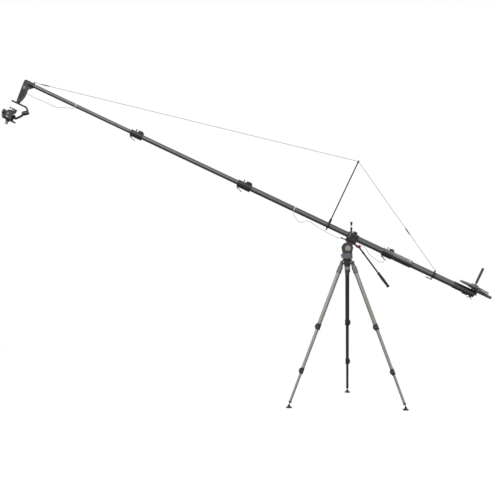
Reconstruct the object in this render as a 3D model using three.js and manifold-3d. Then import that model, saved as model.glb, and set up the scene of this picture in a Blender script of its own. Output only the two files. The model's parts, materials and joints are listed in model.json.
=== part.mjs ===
// Telescopic camera jib crane on a fluid head and tripod, with a motorised gimbal and camera at
// the boom's front tip and a round weight plate at its rear end.
// Lengths are millimetres and angles are degrees. While the pieces are built, Z is up, the floor
// is at zero, and the head's pan axis is the Z axis. The boom lies over the X axis, its rear
// towards +X. At the end the whole crane is moved, so that the origin is the middle of its base.
import * as THREE from "three";
import { mergeVertices } from "three/addons/utils/BufferGeometryUtils.js";
import Module from "manifold-3d";

// Shared fits and facets
const gap = 0.3;
const overrun = 4;
const weldDistance = 0.001;
const tubeSides = 20;
const legSides = 16;
const smallSides = 12;
const tinySides = 8;
const wireSides = 8;
const arcSteps = 6;

// Tripod: where the legs hinge, and how they stand
const legAngle = 23.2;
const tripodTurn = -6.3;
const legAzimuths = { left: 210 + tripodTurn, right: 330 + tripodTurn, rear: 90 + tripodTurn };
const pivotRadius = 58;
const pivotHeight = 1488;
const pivotPinRadius = 5;

// Tripod crown: bowl rim, hub and ears
const rimAbovePivot = 33;
const rimRadius = 48.5;
const rimDepth = 16;
const hubRadius = 40;
const hubDepth = 39;
const hubNeckRadius = 33;
const hubNeckDepth = 24;
const studHoleRadius = 15;
const earThickness = 9;
const earRadius = 16;

// Leg shoulder: lug on the pivot, barrel round the upper tube
const lugWidth = 26;
const lugLength = 52;
const barrelRadius = 26.5;
const barrelTop = 50;
const barrelBottom = 126;
const barrelRoof = 7;

// Leg tubes, along the leg from its pivot
const upperTubeRadius = 21.5;
const middleTubeRadius = 17;
const lowerTubeRadius = 13.5;
const legTubeWall = 2.4;
const middleTubeReach = 487;
const lowerTubeReach = 317;
const stageOverlap = 120;

// Leg locks: a collar on the tube's lower end, and a curved lever that swings on a small pin
const collarExtra = 4.5;
const collarLength = 62;
const neckLength = 34;
const lockLeverHeight = 34;
const lockLeverThickness = 7.5;
const lockLeverGap = 0.8;
const lockEarThickness = 3.5;
const lockPinRadius = 2.4;
const lockLeverFrom = 200;
const lockLeverTo = 340;

// Feet
const footBallHeight = 30;
const footBallRadius = 9;
const footStemRadius = 5;
const footStemLength = 25.27;
const footPadRadius = 30;
const footPadThickness = 9;
const footShoulderRadius = 24;
const footShoulderHeight = 13;
const footNeckRadius = 14;
const footNeckHeight = 16;
const footCupRadius = 12.5;

// Head base: the ball that stands in the bowl, its stud and the pan base on top
const ballRadius = 37.5;
const seatGap = 0.8;
const levelGap = 3.7;
const panBaseRadius = 57.5;
const panBaseThickness = 24;
const studRadius = 7;

// Bowl knob, hanging on the stud below the crown
const knobGap = 3.7;
const knobWasherRadius = 30;
const knobWasherThickness = 30;
const knobGripTopRadius = 25;
const knobGripRadius = 20;
const knobGripLength = 80;
const knobBoreDepth = 70;

// Pan housing: a turntable with two round yoke cheeks
const panHousingRadius = 55;
const panHousingThickness = 33;
const cheekRadius = 57;
const cheekThickness = 13;
const cheekInside = 36;
const cheekFootShare = 0.8;
const axleRadius = 12;
const axleEndRadius = 7;
const axleEndLength = 7;

// Pan lock lever on the left of the pan housing
const panLockPinRadius = 4;
const panLockPinLength = 15;
const panLockHubRadius = 8;
const panLockHubLength = 9;
const panLockArmLength = 34;
const panLockArmWidth = 9;
const panLockArmAngle = 30;
const panLockBelowTop = 20;

// Tilt drum with its axle and the platform on top of it
const drumRadius = 50;
const drumAboveHousing = 2;
const drumHalfWidth = 35;
const drumNeckHalfLength = 34;
const drumNeckBottom = 36;
const platformFront = 46;
const platformRear = 56;
const platformHalfWidth = 36;
const platformBottom = 59;
const platformThickness = 7.5;
const railThickness = 8;
const railHeight = 9;

// Drag dial on the camera side
const dialRadius = 33;
const dialThickness = 12;
const dialRimWidth = 5;
const dialDish = 2.5;

// Red clamp of the pan bar, on the platform's far side
const barClampFront = 30;
const barClampRear = 128;
const barClampBottom = 50;
const barClampDepth = 25;
const barClampNose = 16;
const barClampHorn = 24;
const barClampHornHeight = 9;
const barPivotX = 116;
const barPivotZ = 64;
const barPinRadius = 6;

// Pan bar
const panBarAngle = 28;
const barHubRadius = 14;
const barHubWidth = 17;
const barRadius = 8.5;
const barRodLength = 337;
const barGripLength = 189;
const barGripRadius = 16.5;
const barGripWaist = 13;
const barGripChamfer = 6;

// Sliding plate between the platform and the boom's fulcrum
const slidePlateFront = -110;
const slidePlateRear = 60;
const slidePlateHalfWidth = 27;
const slidePlateThickness = 10;

// Boom: its pitch and how far its axis passes above the tilt axis
const boomPitch = 25.3;
const boomAboveTilt = 132;

// Boom tubes. Places along the boom are counted from the fulcrum, front negative, rear positive.
const frontTubeRadius = 20.5;
const middleBoomRadius = 24.5;
const mainFrontRadius = 28.5;
const mainRearRadius = 32.5;
const rearTubeRadius = 32.2;
const boomTubeWall = 2.2;
const boomTipAt = -3763;
const frontLockAt = -2579;
const middleLockAt = -1336;
const mainJointAt = -10;
const boomOverlap = 200;

// Boom locks: a collar, a bar below, a block and a small knob above, and a hanging lever
const frontLockLength = 134;
const middleLockLength = 151;
const rearLockAt = 347;
const rearLockLength = 116;
const boomLockWall = 8;
const boomLockLip = 24;
const boomLockBarHeight = 7;
const boomLockBarWidth = 20;
const boomLockBlockHeight = 22;
const boomLockBlockWidth = 30;
const boomLockBlockLengthShare = 0.46;
const boomLockBlockTopShare = 0.7;
const boomLockKnobRadius = 8;
const boomLockKnobHeight = 13;
const boomLockKnobPlaceShare = 0.36;
const boomLeverDrop = 9;
const boomLeverInset = 20;
const boomLeverLength = 57;
const boomLeverAngle = 20;
const boomLeverRadius = 4.2;
const boomLeverHubRadius = 7;
const boomLeverHubWidth = 11;
const boomLeverPinRadius = 2.8;
const boomLeverEarThickness = 4;

// Coupler sleeve between main tube and rear tube, with a latch button
const couplerFront = 463;
const couplerRear = 684;
const couplerRadius = 41;
const couplerChamfer = 5;
const couplerJointAt = 571;
const buttonAt = 649;
const buttonRadius = 9;
const buttonStand = 3.5;
const buttonPocketDepth = 7;
const buttonHeight = 6;
const buttonTurn = 55;

// Rear tube and the bracket of the rear stay
const rearTubeEnd = 1330;
const stayBracketAt = 939;
const stayBracketWidth = 22;
const stayBracketWall = 5;
const stayLugThickness = 12;
const stayEyeRadius = 6;
const stayEyeWidth = 16;
const rearEyeHeight = 50;
const wingStemRadius = 3.5;
const wingStemLength = 14;
const wingLength = 62;
const wingRadius = 6;

// Rear clamp: sleeve on the tube's end, and the operator's handle behind it
const rearClampFront = 1171;
const rearClampEnd = 1415;
const rearClampRadius = 37;
const rearClampChamfer = 4;
const handleBlockLength = 22;
const handleBlockWidth = 30;
const handleHeight = 41;
const handleRadius = 16;
const handleEnd = 1600;

// Weight plate on its hub
const weightAt = 1385;
const weightPlateRadius = 162.5;
const weightPlateThickness = 18;
const weightPlateBottom = 61;
const weightHubRadius = 65;
const weightHubThickness = 13;
const weightSeatRadius = 24;

// Weight spindle: bolt, collar, black handle and wing nut
const spindleBoltRadius = 8;
const spindleCollarRadius = 39.5;
const spindleCollarThickness = 9;
const spindleCollarGap = 8;
const spindleHandleRadius = 14;
const spindleHandleFoot = 115;
const spindleHandleTop = 289;
const wingNutRadius = 14;
const wingNutLength = 14;
const wingNutSpan = 62;
const wingNutHeight = 24;
const wingNutThickness = 7;
const wingNutRootShare = 0.5;
const wingNutShoulderShare = 0.72;
const wingNutTipDropShare = 0.3;
const wingNutShoulderDropShare = 0.5;

// Fulcrum block on the sliding plate
const fulcrumFront = -56;
const fulcrumRear = 57;
const fulcrumHalfWidth = 40;
const fulcrumTop = 38;
const fulcrumCornerRadius = 14;
const fulcrumKnobAt = 8;
const fulcrumKnobRadius = 25;
const fulcrumKnobHeight = 25;

// Small ball mount on the fulcrum block, standing upright
const ballMountAt = -33;
const ballMountFootRadius = 12;
const ballMountFootHeight = 44;
const ballMountNeckRadius = 8;
const ballMountNeckHeight = 30;
const ballMountHeadRadius = 13;
const ballMountHeadHeight = 34;

// Mast
const mastAt = -284;
const mastHeight = 751;
const mastRadius = 6.5;
const mastCapRadius = 9;
const mastCapLength = 30;
const mastClampWidth = 25;
const mastClampWall = 6;
const mastBossLength = 42;
const mastBossWidth = 25;
const mastScrewRadius = 5;
const mastScrewLength = 16;
const mastKnobLength = 34;
const mastKnobRadius = 7.5;

// Stay wires and their turnbuckles
const stayWireRadius = 2;
const turnbuckleRadius = 6;
const frontTurnbuckleShare = 0.968;
const rearTurnbuckleShare = 0.64;
const turnbuckleLength = 78;
const mastEyeBelowTop = 10;
const frontEyeAt = -3714;
const frontEyeHeight = 34;

// Bracket at the boom's tip
const tipCollarLength = 58;
const tipCollarWall = 5.5;
const tipPlateFront = -3815;
const tipPlateRear = -3750;
const tipPlateHalfHeight = 26;
const tipPlateHalfWidth = 22;
const tipPlateFrontShare = 0.4;
const tipGussetLength = 44;
const tipGussetHeight = 34;
const tipGussetHalfWidth = 6;

// Gimbal handle: a grip with a bulge on its rear side, over the pan motor
const gimbalAt = -3782;
const handleGripHalfWidth = 20;
const handleBulgeDepth = 107;
const handleWaistDepth = 169;
const handleFootDepth = 212;
const handleFrontTop = 33;
const handleFrontFoot = 19;
const handleRearTop = 32;
const handleRearBulge = 39;
const handleRearWaist = 33;
const handleRearFoot = 19;
const panMotorRadius = 21;
const panMotorHeight = 36;
const panMotorBelowHandle = 14;

// Gimbal: the three axes cross here, below the boom's axis
const gimbalCentreBelowMotor = 157;
const rollAxisAngle = 36.9;

// Pan arm: a flat bar with a tail, bent down to the roll motor
const panArmThickness = 17;
const panArmWidth = 26;
const panArmTail = 68;
const panArmReach = 92;
const panArmHubThickness = 2;
const panArmBendReach = 112;
const panArmBendDrop = 10;
const panArmEndReach = 126;
const panArmEndDrop = 32;
const rollMotorRadius = 23.5;
const rollMotorLength = 63;
const rollMotorDistance = 151;

// Roll arm, along the roll axis, then beside the camera to the tilt motor
const rollDiscRadius = 20;
const rollDiscThickness = 8;
const rollArmWidth = 18;
const rollArmDepth = 20;
const rollArmStartOffset = 10;
const rollArmBendAlong = 90;
const rollArmBendOffset = 16;
const rollArmBendSide = 34;
const rollArmRunAlong = 62;
const rollArmRunOffset = 18;
const rollArmRunSide = 59;
const rollArmEndAlong = 14;
const rollArmEndOffset = 22;
const rollArmSide = 66;
const tiltMotorRadius = 23;
const tiltMotorLength = 28;

// Camera cradle: side arm, plate below the camera, knob under the plate
const cradleInside = 42.5;
const cradleArmThickness = 7;
const cradleArmRadius = 20;
const cradlePlateTop = -42;
const cradlePlateThickness = 18;
const cradlePlateFront = -86;
const cradlePlateRear = 63;
const cradlePlateHalfWidth = 18;
const cradleTailLength = 28;
const cradleTailHalfWidth = 12;
const cradleBossRadius = 22;
const cradleBossHeight = 13;
const cradleKnobRadius = 16;
const cradleKnobHeight = 30;
const cradleKnobAt = -21;

// Camera
const cameraFront = -60;
const cameraRear = 7;
const cameraTop = 38;
const cameraHalfWidth = 41;
const finderRear = -27;
const finderTop = 53;
const finderHalfWidth = 18;
const lensRadius = 24;
const lensHoodRadius = 26.5;
const lensHoodLength = 16;
const lensFront = -108;
const lensAxisHeight = 8;
const lensBoreDepth = 22;
const lensWall = 4;
const transmitterFront = -25;
const transmitterRear = 21;
const transmitterTop = 80;
const transmitterHalfWidth = 24;
const antennaReach = 27;
const antennaHeight = 73;
const antennaRadius = 3.5;
const antennaBallRadius = 9;

// Control wires. The points are [along the boom, across it, above its axis].
const controlWireRadius = 1.75;
const frontWireRoute = [
  [-3743.3, 0, -98], [-3730, 0, -100.5], [-3700, 0, -106], [-3660, 0, -107], [-3600, 0, -105],
  [-3540, 0, -103.5], [-3473, 0, -103], [-3430, 0, -103], [-3400, 0, -101], [-3360, 0, -86],
  [-3320, 0, -68], [-3280, 0, -53], [-3245, 0, -41], [-3223, 0, -31], [-3217, 0, -21.8],
];
const boomWireRoute = [
  [-680, 0, -29.6], [-674, 0, -42], [-650, 0, -62], [-610, 4, -88], [-575, 6, -100],
  [-552, 5, -94], [-530, 3, -72], [-505, 0, -54], [-470, 0, -50], [-413, 0, -60],
  [-360, 6, -66], [-311, 14, -70], [-244, 26, -74], [-190, 40, -76], [-140, 50, -74],
  [-80, 55, -62], [-20, 56, -48], [40, 54, -40], [90, 46, -36], [128, 37, -37],
  [166, 28, -43], [200, 19, -64], [234, 14, -88], [287, 8, -104], [330, 8, -113], [355, 9, -117],
  [380, 13, -116], [400, 16, -108], [409, 17, -93], [405, 17, -78], [392, 16, -66],
  [386, 15, -52], [385, 14, -38.7],
];
const wireStep = 2.8;
const wireStepsMost = 78;

const wasm = await Module();
wasm.setup();

// Small helpers: three.js geometries as solids that can be joined and cut

function solidOf(geometry) {
  const bare = geometry.index ? geometry.toNonIndexed() : geometry.clone();
  bare.deleteAttribute("normal");
  bare.deleteAttribute("uv");
  const merged = mergeVertices(bare, weldDistance);
  const corners = merged.index.array;
  const kept = [];
  for (let i = 0; i < corners.length; i += 3) {
    const [a, b, c] = corners.slice(i, i + 3);
    if (a !== b && b !== c && c !== a) kept.push(a, b, c);
  }
  return new wasm.Manifold(
    new wasm.Mesh({
      numProp: 3,
      vertProperties: merged.attributes.position.array,
      triVerts: new Uint32Array(kept),
    }),
  );
}

function geometryOf(solid) {
  const { vertProperties, triVerts } = solid.getMesh();
  const geometry = new THREE.BufferGeometry();
  geometry.setAttribute("position", new THREE.BufferAttribute(vertProperties, 3));
  geometry.setIndex(new THREE.BufferAttribute(triVerts, 1));
  geometry.computeVertexNormals();
  return geometry;
}

const radians = THREE.MathUtils.degToRad;
const cosine = (angle) => Math.cos(radians(angle));
const sine = (angle) => Math.sin(radians(angle));
const joined = (first, ...others) => others.reduce((whole, next) => whole.add(next), first);
const cut = (first, ...others) => others.reduce((whole, next) => whole.subtract(next), first);

// Turns a geometry that was made along Y, so that it runs along the given axis.
function along(geometry, axis) {
  if (axis === "x") geometry.rotateZ(-Math.PI / 2);
  if (axis === "z") geometry.rotateX(Math.PI / 2);
  return geometry;
}

// A turned piece. The profile's points are [radius, height], up the outside and down the inside.
function turned(profile, axis, sides, [x, y, z] = [0, 0, 0]) {
  const points = profile.map(([radius, height]) => new THREE.Vector2(radius, height));
  if (points[0].x > 0 || points.at(-1).x > 0) points.push(points[0].clone());
  return solidOf(along(new THREE.LatheGeometry(points, sides), axis).translate(x, y, z));
}

// A round bar between two places on an axis, centred on the point in the other two directions.
function bar(radius, from, to, axis, sides = smallSides, [x, y, z] = [0, 0, 0]) {
  return turned([[0, from], [radius, from], [radius, to], [0, to]], axis, sides, [x, y, z]);
}

// A pipe between two places on an axis.
function pipe(outside, inside, from, to, axis, sides) {
  const profile = [[inside, from], [outside, from], [outside, to], [inside, to]];
  return turned(profile, axis, sides);
}

// A ball, made by turning a half circle.
function ball(radius, [x, y, z] = [0, 0, 0], sides = smallSides, steps = arcSteps) {
  return turned(arc(radius, 0, -90, 90, steps), "z", sides, [x, y, z]);
}

// Points on a circle round a place on the axis, as [radius, height].
function arc(radius, height, from, to, steps = arcSteps) {
  const points = [];
  for (let i = 0; i <= steps; i++) {
    const angle = from + ((to - from) * i) / steps;
    points.push([Math.max(radius * cosine(angle), 0), height + radius * sine(angle)]);
  }
  return points;
}

// A box between two corners.
function block([x0, y0, z0], [x1, y1, z1]) {
  const box = new THREE.BoxGeometry(x1 - x0, y1 - y0, z1 - z0);
  return solidOf(box.translate((x0 + x1) / 2, (y0 + y1) / 2, (z0 + z1) / 2));
}

function shapeOf(points) {
  return new THREE.Shape(points.map(([a, b]) => new THREE.Vector2(a, b)));
}

// A flat piece whose outline is drawn in X and Z, between two places across the boom.
function sidePlate(outline, from, to) {
  const shape = outline instanceof THREE.Shape ? outline : shapeOf(outline);
  const plate = new THREE.ExtrudeGeometry(shape, { depth: to - from, bevelEnabled: false });
  return solidOf(plate.rotateX(Math.PI / 2).translate(0, to, 0));
}

// A piece whose outline is drawn in Y and Z, between two places along the boom.
function crossBlock(outline, from, to) {
  const settings = { depth: to - from, bevelEnabled: false, curveSegments: arcSteps };
  const shape = outline instanceof THREE.Shape ? outline : shapeOf(outline);
  const plate = new THREE.ExtrudeGeometry(shape, settings);
  return solidOf(plate.rotateX(Math.PI / 2).rotateZ(Math.PI / 2).translate(from, 0, 0));
}

// A section swept along a smooth curve through the points.
function swept(section, points, steps) {
  const curve = new THREE.CatmullRomCurve3(
    points.map((point) => new THREE.Vector3(...point)), false, "centripetal");
  const settings = { steps, extrudePath: curve, bevelEnabled: false };
  return solidOf(new THREE.ExtrudeGeometry(section, settings));
}

function roundSection(radius, sides) {
  const points = [];
  for (let i = 0; i < sides; i++) {
    const angle = (360 * i) / sides;
    points.push([radius * cosine(angle), radius * sine(angle)]);
  }
  return shapeOf(points);
}

function flatSection(width, depth) {
  const [x, y] = [width / 2, depth / 2];
  return shapeOf([[-x, -y], [x, -y], [x, y], [-x, y]]);
}

// Finishes: colour, roughness and how metallic
const finishes = {
  carbon: [0x2a2b2a, 0.42, 0.1],
  rearCarbon: [0x55574f, 0.45, 0.1],
  blackMetal: [0x17181a, 0.5, 0.4],
  castMetal: [0x6a6d69, 0.5, 0.5],
  greyTube: [0x8c8f86, 0.4, 0.5],
  blackTube: [0x222326, 0.35, 0.3],
  paleMetal: [0xb9bcc0, 0.35, 0.7],
  chrome: [0xd5d7da, 0.12, 1],
  beige: [0xcdbfae, 0.5, 0.1],
  red: [0xb02a3a, 0.4, 0.3],
  blackPlastic: [0x1d1e20, 0.6, 0],
  rubber: [0x2c2c2c, 0.85, 0],
  white: [0xececea, 0.5, 0],
  steelPlate: [0x8e908a, 0.45, 0.7],
};

function piece(group, name, solid, finish) {
  const [color, roughness, metalness] = finishes[finish];
  const material = new THREE.MeshStandardMaterial({ color, roughness, metalness });
  const mesh = new THREE.Mesh(geometryOf(solid), material);
  mesh.name = name;
  group.add(mesh);
  return mesh;
}

function placed(parent, [x, y, z], turn = {}) {
  const group = new THREE.Group();
  group.position.set(x, y, z);
  group.rotation.set(radians(turn.x ?? 0), radians(turn.y ?? 0), radians(turn.z ?? 0));
  parent.add(group);
  return group;
}

const crane = new THREE.Group();

// Tripod crown

const rimHeight = pivotHeight + rimAbovePivot;
const hubBottom = rimHeight - rimDepth - hubDepth;
const crownBottom = hubBottom - hubNeckDepth;
const ballHeight = rimHeight + levelGap;
const crownCore = turned(
  [
    [studHoleRadius, crownBottom],
    [hubNeckRadius, crownBottom],
    [hubNeckRadius, hubBottom],
    [hubRadius, hubBottom],
    [hubRadius, rimHeight - rimDepth],
    [rimRadius, rimHeight - rimDepth],
    [rimRadius, rimHeight],
    [studHoleRadius, rimHeight],
  ],
  "z",
  tubeSides,
);
const lugHalf = lugWidth / 2;
const earOutside = lugHalf + gap + earThickness;
const earOutline = [
  [hubNeckRadius, crownBottom + hubNeckDepth],
  [pivotRadius, pivotHeight - earRadius],
  [pivotRadius, pivotHeight + earRadius],
  [hubNeckRadius, pivotHeight + earRadius],
];

function crownEars(azimuth) {
  const ears = [-1, 1].map((side) => {
    const [from, to] = side > 0 ? [lugHalf + gap, earOutside] : [-earOutside, -lugHalf - gap];
    const round = bar(earRadius, from, to, "y", smallSides, [pivotRadius, 0, pivotHeight]);
    return sidePlate(earOutline, from, to).add(round);
  });
  const pin = bar(
    pivotPinRadius, -earOutside, earOutside, "y", smallSides, [pivotRadius, 0, pivotHeight]);
  const geometry = geometryOf(joined(...ears, pin)).rotateZ(radians(azimuth));
  return solidOf(geometry);
}

const seatBall = ball(ballRadius + seatGap, [0, 0, ballHeight], tubeSides, arcSteps * 2);
const crownSolid = joined(crownCore, ...Object.values(legAzimuths).map(crownEars));
piece(crane, "tripod_crown", cut(crownSolid, seatBall), "castMetal");

// Tripod legs. A leg is built hanging straight down from its pivot, then leaned outwards.

function lockCollar(tubeRadius, end, boreRadius) {
  const top = -end + collarLength;
  const outside = tubeRadius + collarExtra;
  const pivotAngle = lockLeverTo;
  const pivotRing = outside + lockLeverGap + lockLeverThickness / 2;
  const pivot = [pivotRing * cosine(pivotAngle), pivotRing * sine(pivotAngle)];
  const leverMiddle = (top - end) / 2;
  const leverHalf = lockLeverHeight / 2;
  const ears = [-1, 1].map((side) => {
    const near = leverMiddle + side * (leverHalf + gap);
    const far = near + side * lockEarThickness;
    const [low, high] = [Math.min(near, far), Math.max(near, far)];
    const tip = bar(lockLeverThickness / 2, low, high, "z", tinySides, [...pivot, 0]);
    const root = block(
      [tubeRadius * cosine(pivotAngle), pivot[1] - lockLeverThickness / 2, low],
      [pivot[0], pivot[1] + lockLeverThickness / 2, high]);
    return tip.add(root);
  });
  const pin = bar(
    lockPinRadius, leverMiddle - leverHalf - lockEarThickness,
    leverMiddle + leverHalf + lockEarThickness, "z", tinySides, [...pivot, 0]);
  const collar = pipe(outside, boreRadius, -end, top, "z", legSides);
  return cut(joined(collar, ...ears, pin), bar(boreRadius, -end - overrun, top + overrun, "z", legSides));
}

function lockLever(tubeRadius, end) {
  const inside = tubeRadius + collarExtra + lockLeverGap;
  const outside = inside + lockLeverThickness;
  const ring = inside + lockLeverThickness / 2;
  const [from, to] = [radians(lockLeverFrom), radians(lockLeverTo)];
  const outline = new THREE.Shape();
  outline.absarc(0, 0, outside, from, to, false);
  outline.absarc(0, 0, inside, to, from, true);
  const settings = { depth: lockLeverHeight, bevelEnabled: false, curveSegments: arcSteps };
  const low = -end + (collarLength - lockLeverHeight) / 2;
  const band = solidOf(new THREE.ExtrudeGeometry(outline, settings).translate(0, 0, low));
  const pivot = [ring * cosine(lockLeverTo), ring * sine(lockLeverTo), 0];
  const tail = [ring * cosine(lockLeverFrom), ring * sine(lockLeverFrom), 0];
  const ends = [pivot, tail].map((place) =>
    bar(lockLeverThickness / 2, low, low + lockLeverHeight, "z", tinySides, place));
  const hole = bar(
    lockPinRadius + gap, low - overrun, low + lockLeverHeight + overrun, "z", tinySides, pivot);
  return cut(joined(band, ...ends), hole);
}

// A leg tube with the collar of its lock at the lower end.
function legStage(radius, top, end, nextRadius) {
  const inside = radius - legTubeWall;
  const neck = nextRadius + gap;
  const tube = turned(
    [
      [neck, -end],
      [radius, -end],
      [radius, -top],
      [inside, -top],
      [inside, -end + neckLength],
      [neck, -end + neckLength],
    ],
    "z",
    legSides,
  );
  return tube.add(lockCollar(radius, end, neck));
}

const footBallAlong = (pivotHeight - footBallHeight) / cosine(legAngle);
const lowerTubeEnd = footBallAlong - footStemLength;
const middleTubeEnd = lowerTubeEnd - lowerTubeReach;
const upperTubeEnd = middleTubeEnd - middleTubeReach;
const upperTubeTop = barrelTop + barrelRoof;
const middleTubeTop = upperTubeEnd - stageOverlap;
const lowerTubeTop = middleTubeEnd - stageOverlap;
const footRadius = pivotRadius + (pivotHeight - footBallHeight) * Math.tan(radians(legAngle));

const barrelBore = upperTubeRadius + gap;
const lugRound = bar(earRadius, -lugHalf, lugHalf, "y", smallSides);
const lugBlock = block([-earRadius, -lugHalf, -lugLength], [earRadius, lugHalf, 0]);
const barrel = turned(
  [
    [0, -upperTubeTop + gap],
    [barrelBore, -upperTubeTop + gap],
    [barrelBore, -barrelBottom],
    [barrelRadius, -barrelBottom],
    [barrelRadius, -barrelTop],
    [0, -barrelTop],
  ],
  "z",
  legSides,
);
const pivotHole = bar(pivotPinRadius + gap, -lugWidth, lugWidth, "y", smallSides);
const shoulderSolid = cut(joined(barrel, lugRound, lugBlock), pivotHole);
const upperTubeSolid = legStage(upperTubeRadius, upperTubeTop, upperTubeEnd, middleTubeRadius);
const middleTubeSolid = legStage(middleTubeRadius, middleTubeTop, middleTubeEnd, lowerTubeRadius);

const lowerInside = lowerTubeRadius - legTubeWall;
const lowerPipe = turned(
  [
    [0, -lowerTubeEnd],
    [lowerTubeRadius, -lowerTubeEnd],
    [lowerTubeRadius, -lowerTubeTop],
    [lowerInside, -lowerTubeTop],
    [lowerInside, -lowerTubeEnd + lowerTubeRadius],
    [0, -lowerTubeEnd + lowerTubeRadius],
  ],
  "z",
  legSides,
);
const footStem = bar(footStemRadius, -footBallAlong, -lowerTubeEnd + footStemRadius, "z");
const footBall = ball(footBallRadius, [0, 0, -footBallAlong]);
const lowerTubeSolid = joined(lowerPipe, footStem, footBall);

const cupRadius = footBallRadius + gap;
const footSolid = turned(
  [
    [0, 0],
    [footPadRadius, 0],
    [footPadRadius, footPadThickness],
    [footShoulderRadius, footShoulderHeight],
    [footNeckRadius, footNeckHeight],
    [footCupRadius, footBallHeight],
    ...arc(cupRadius, footBallHeight, 0, -90),
  ],
  "z",
  legSides,
);

for (const [side, azimuth] of Object.entries(legAzimuths)) {
  const rear = side === "rear";
  const tubeFinish = rear ? "blackTube" : "greyTube";
  const turn = placed(crane, [0, 0, 0], { z: azimuth });
  const leg = placed(turn, [pivotRadius, 0, pivotHeight], { y: -legAngle });
  piece(leg, `shoulder_${side}`, shoulderSolid, rear ? "blackMetal" : "castMetal");
  piece(leg, `upper_tube_${side}`, upperTubeSolid, tubeFinish);
  piece(leg, `upper_lever_${side}`, lockLever(upperTubeRadius, upperTubeEnd), "blackMetal");
  piece(leg, `middle_tube_${side}`, middleTubeSolid, tubeFinish);
  piece(leg, `lower_lever_${side}`, lockLever(middleTubeRadius, middleTubeEnd), "blackMetal");
  piece(leg, `lower_tube_${side}`, lowerTubeSolid, tubeFinish);
  piece(placed(turn, [footRadius, 0, 0]), `foot_${side}`, footSolid, "rubber");
}

// Head base and bowl knob

const panBaseTop = ballHeight + panBaseThickness;
const knobTop = crownBottom - knobGap;
const washerBottom = knobTop - knobWasherThickness;
const knobBottom = washerBottom - knobGripLength;
const boreBottom = knobTop - knobBoreDepth;
const headBall = turned([...arc(ballRadius, ballHeight, -90, 0), [0, ballHeight]], "z", tubeSides);
const panBase = bar(panBaseRadius, ballHeight, panBaseTop, "z", tubeSides);
const stud = bar(studRadius, boreBottom + gap, ballHeight, "z");
piece(crane, "head_base", joined(headBall, panBase, stud), "paleMetal");

const knobSolid = turned(
  [
    [0, knobBottom],
    [knobGripRadius, knobBottom],
    [knobGripTopRadius, washerBottom],
    [knobWasherRadius, washerBottom],
    [knobWasherRadius, knobTop],
    [studRadius + gap, knobTop],
    [studRadius + gap, boreBottom],
    [0, boreBottom],
  ],
  "z",
  legSides,
);
piece(crane, "bowl_knob", knobSolid, "paleMetal");

// Pan housing with its two cheeks, and the pan lock lever

const housingBottom = panBaseTop + gap;
const housingTop = housingBottom + panHousingThickness;
const cheekOutside = cheekInside + cheekThickness;
const housing = bar(panHousingRadius, housingBottom, housingTop, "z", tubeSides);
const tiltAxisHeight = housingTop + drumAboveHousing + drumRadius;
const tiltPoint = [0, 0, tiltAxisHeight];
const cheekFoot = [
  [-panHousingRadius * cheekFootShare, housingBottom],
  [panHousingRadius * cheekFootShare, housingBottom],
  [cheekRadius, tiltAxisHeight],
  [-cheekRadius, tiltAxisHeight],
];
const cheeks = [-1, 1].map((side) => {
  const [from, to] = side > 0 ? [cheekInside, cheekOutside] : [-cheekOutside, -cheekInside];
  const round = bar(cheekRadius, from, to, "y", tubeSides, tiltPoint);
  return sidePlate(cheekFoot, from, to).add(round);
});
const axleHole = bar(
  axleRadius + gap, -cheekOutside - overrun, cheekOutside + overrun, "y", legSides, tiltPoint);
const drumRoom = bar(
  drumRadius + cheekThickness / 4, -cheekInside, cheekInside, "y", tubeSides, tiltPoint);
const underCut = block(
  [-panBaseRadius - cheekThickness, -panBaseRadius, housingBottom - panBaseThickness],
  [panBaseRadius + cheekThickness, panBaseRadius, housingBottom]);
const panLockHeight = housingTop - panLockBelowTop;
const panLockPin = bar(
  panLockPinRadius, -panHousingRadius - panLockPinLength, -panHousingRadius + panLockPinLength,
  "x", smallSides, [0, 0, panLockHeight]);
const housingSolid = cut(joined(housing, ...cheeks, panLockPin), axleHole, drumRoom, underCut);
piece(crane, "pan_housing", housingSolid, "castMetal");

const panLockNear = -panBaseRadius - gap;
const panLockFar = panLockNear - panLockHubLength;
const panLockHub = bar(panLockHubRadius, panLockFar, panLockNear, "x");
const panLockArm = block(
  [panLockFar, -panLockArmWidth / 2, -panLockArmLength], [panLockNear, panLockArmWidth / 2, 0]);
const panLockHole = bar(panLockPinRadius + gap, panLockFar - overrun, panLockNear + overrun, "x");
const panLock = placed(crane, [0, 0, panLockHeight], { x: panLockArmAngle });
piece(panLock, "pan_lock_lever", cut(joined(panLockHub, panLockArm), panLockHole), "blackMetal");

// Tilt drum and platform, red bar clamp and sliding plate, in the tilted frame of the head

const tilt = placed(crane, tiltPoint, { y: boomPitch });
const axleEnd = cheekOutside + gap + axleEndLength;
const drum = bar(drumRadius, -drumHalfWidth, drumHalfWidth, "y", tubeSides);
const axle = bar(axleRadius, -cheekOutside, cheekOutside, "y", legSides);
const axleTip = bar(axleEndRadius, -axleEnd, 0, "y");
const drumNeck = block(
  [-drumNeckHalfLength, -drumHalfWidth, drumNeckBottom],
  [drumNeckHalfLength, drumHalfWidth, platformBottom]);
const platformTop = platformBottom + platformThickness;
const platform = block(
  [-platformFront, -platformHalfWidth, platformBottom],
  [platformRear, platformHalfWidth, platformTop]);
const rails = [-1, 1].map((side) => {
  const edges = [side * platformHalfWidth, side * (platformHalfWidth - railThickness)];
  return block(
    [-platformFront, Math.min(...edges), platformTop - platformThickness / 2],
    [platformRear, Math.max(...edges), platformTop + railHeight]);
});
piece(tilt, "tilt_drum", joined(drum, axle, axleTip, drumNeck, platform, ...rails), "blackMetal");

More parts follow.
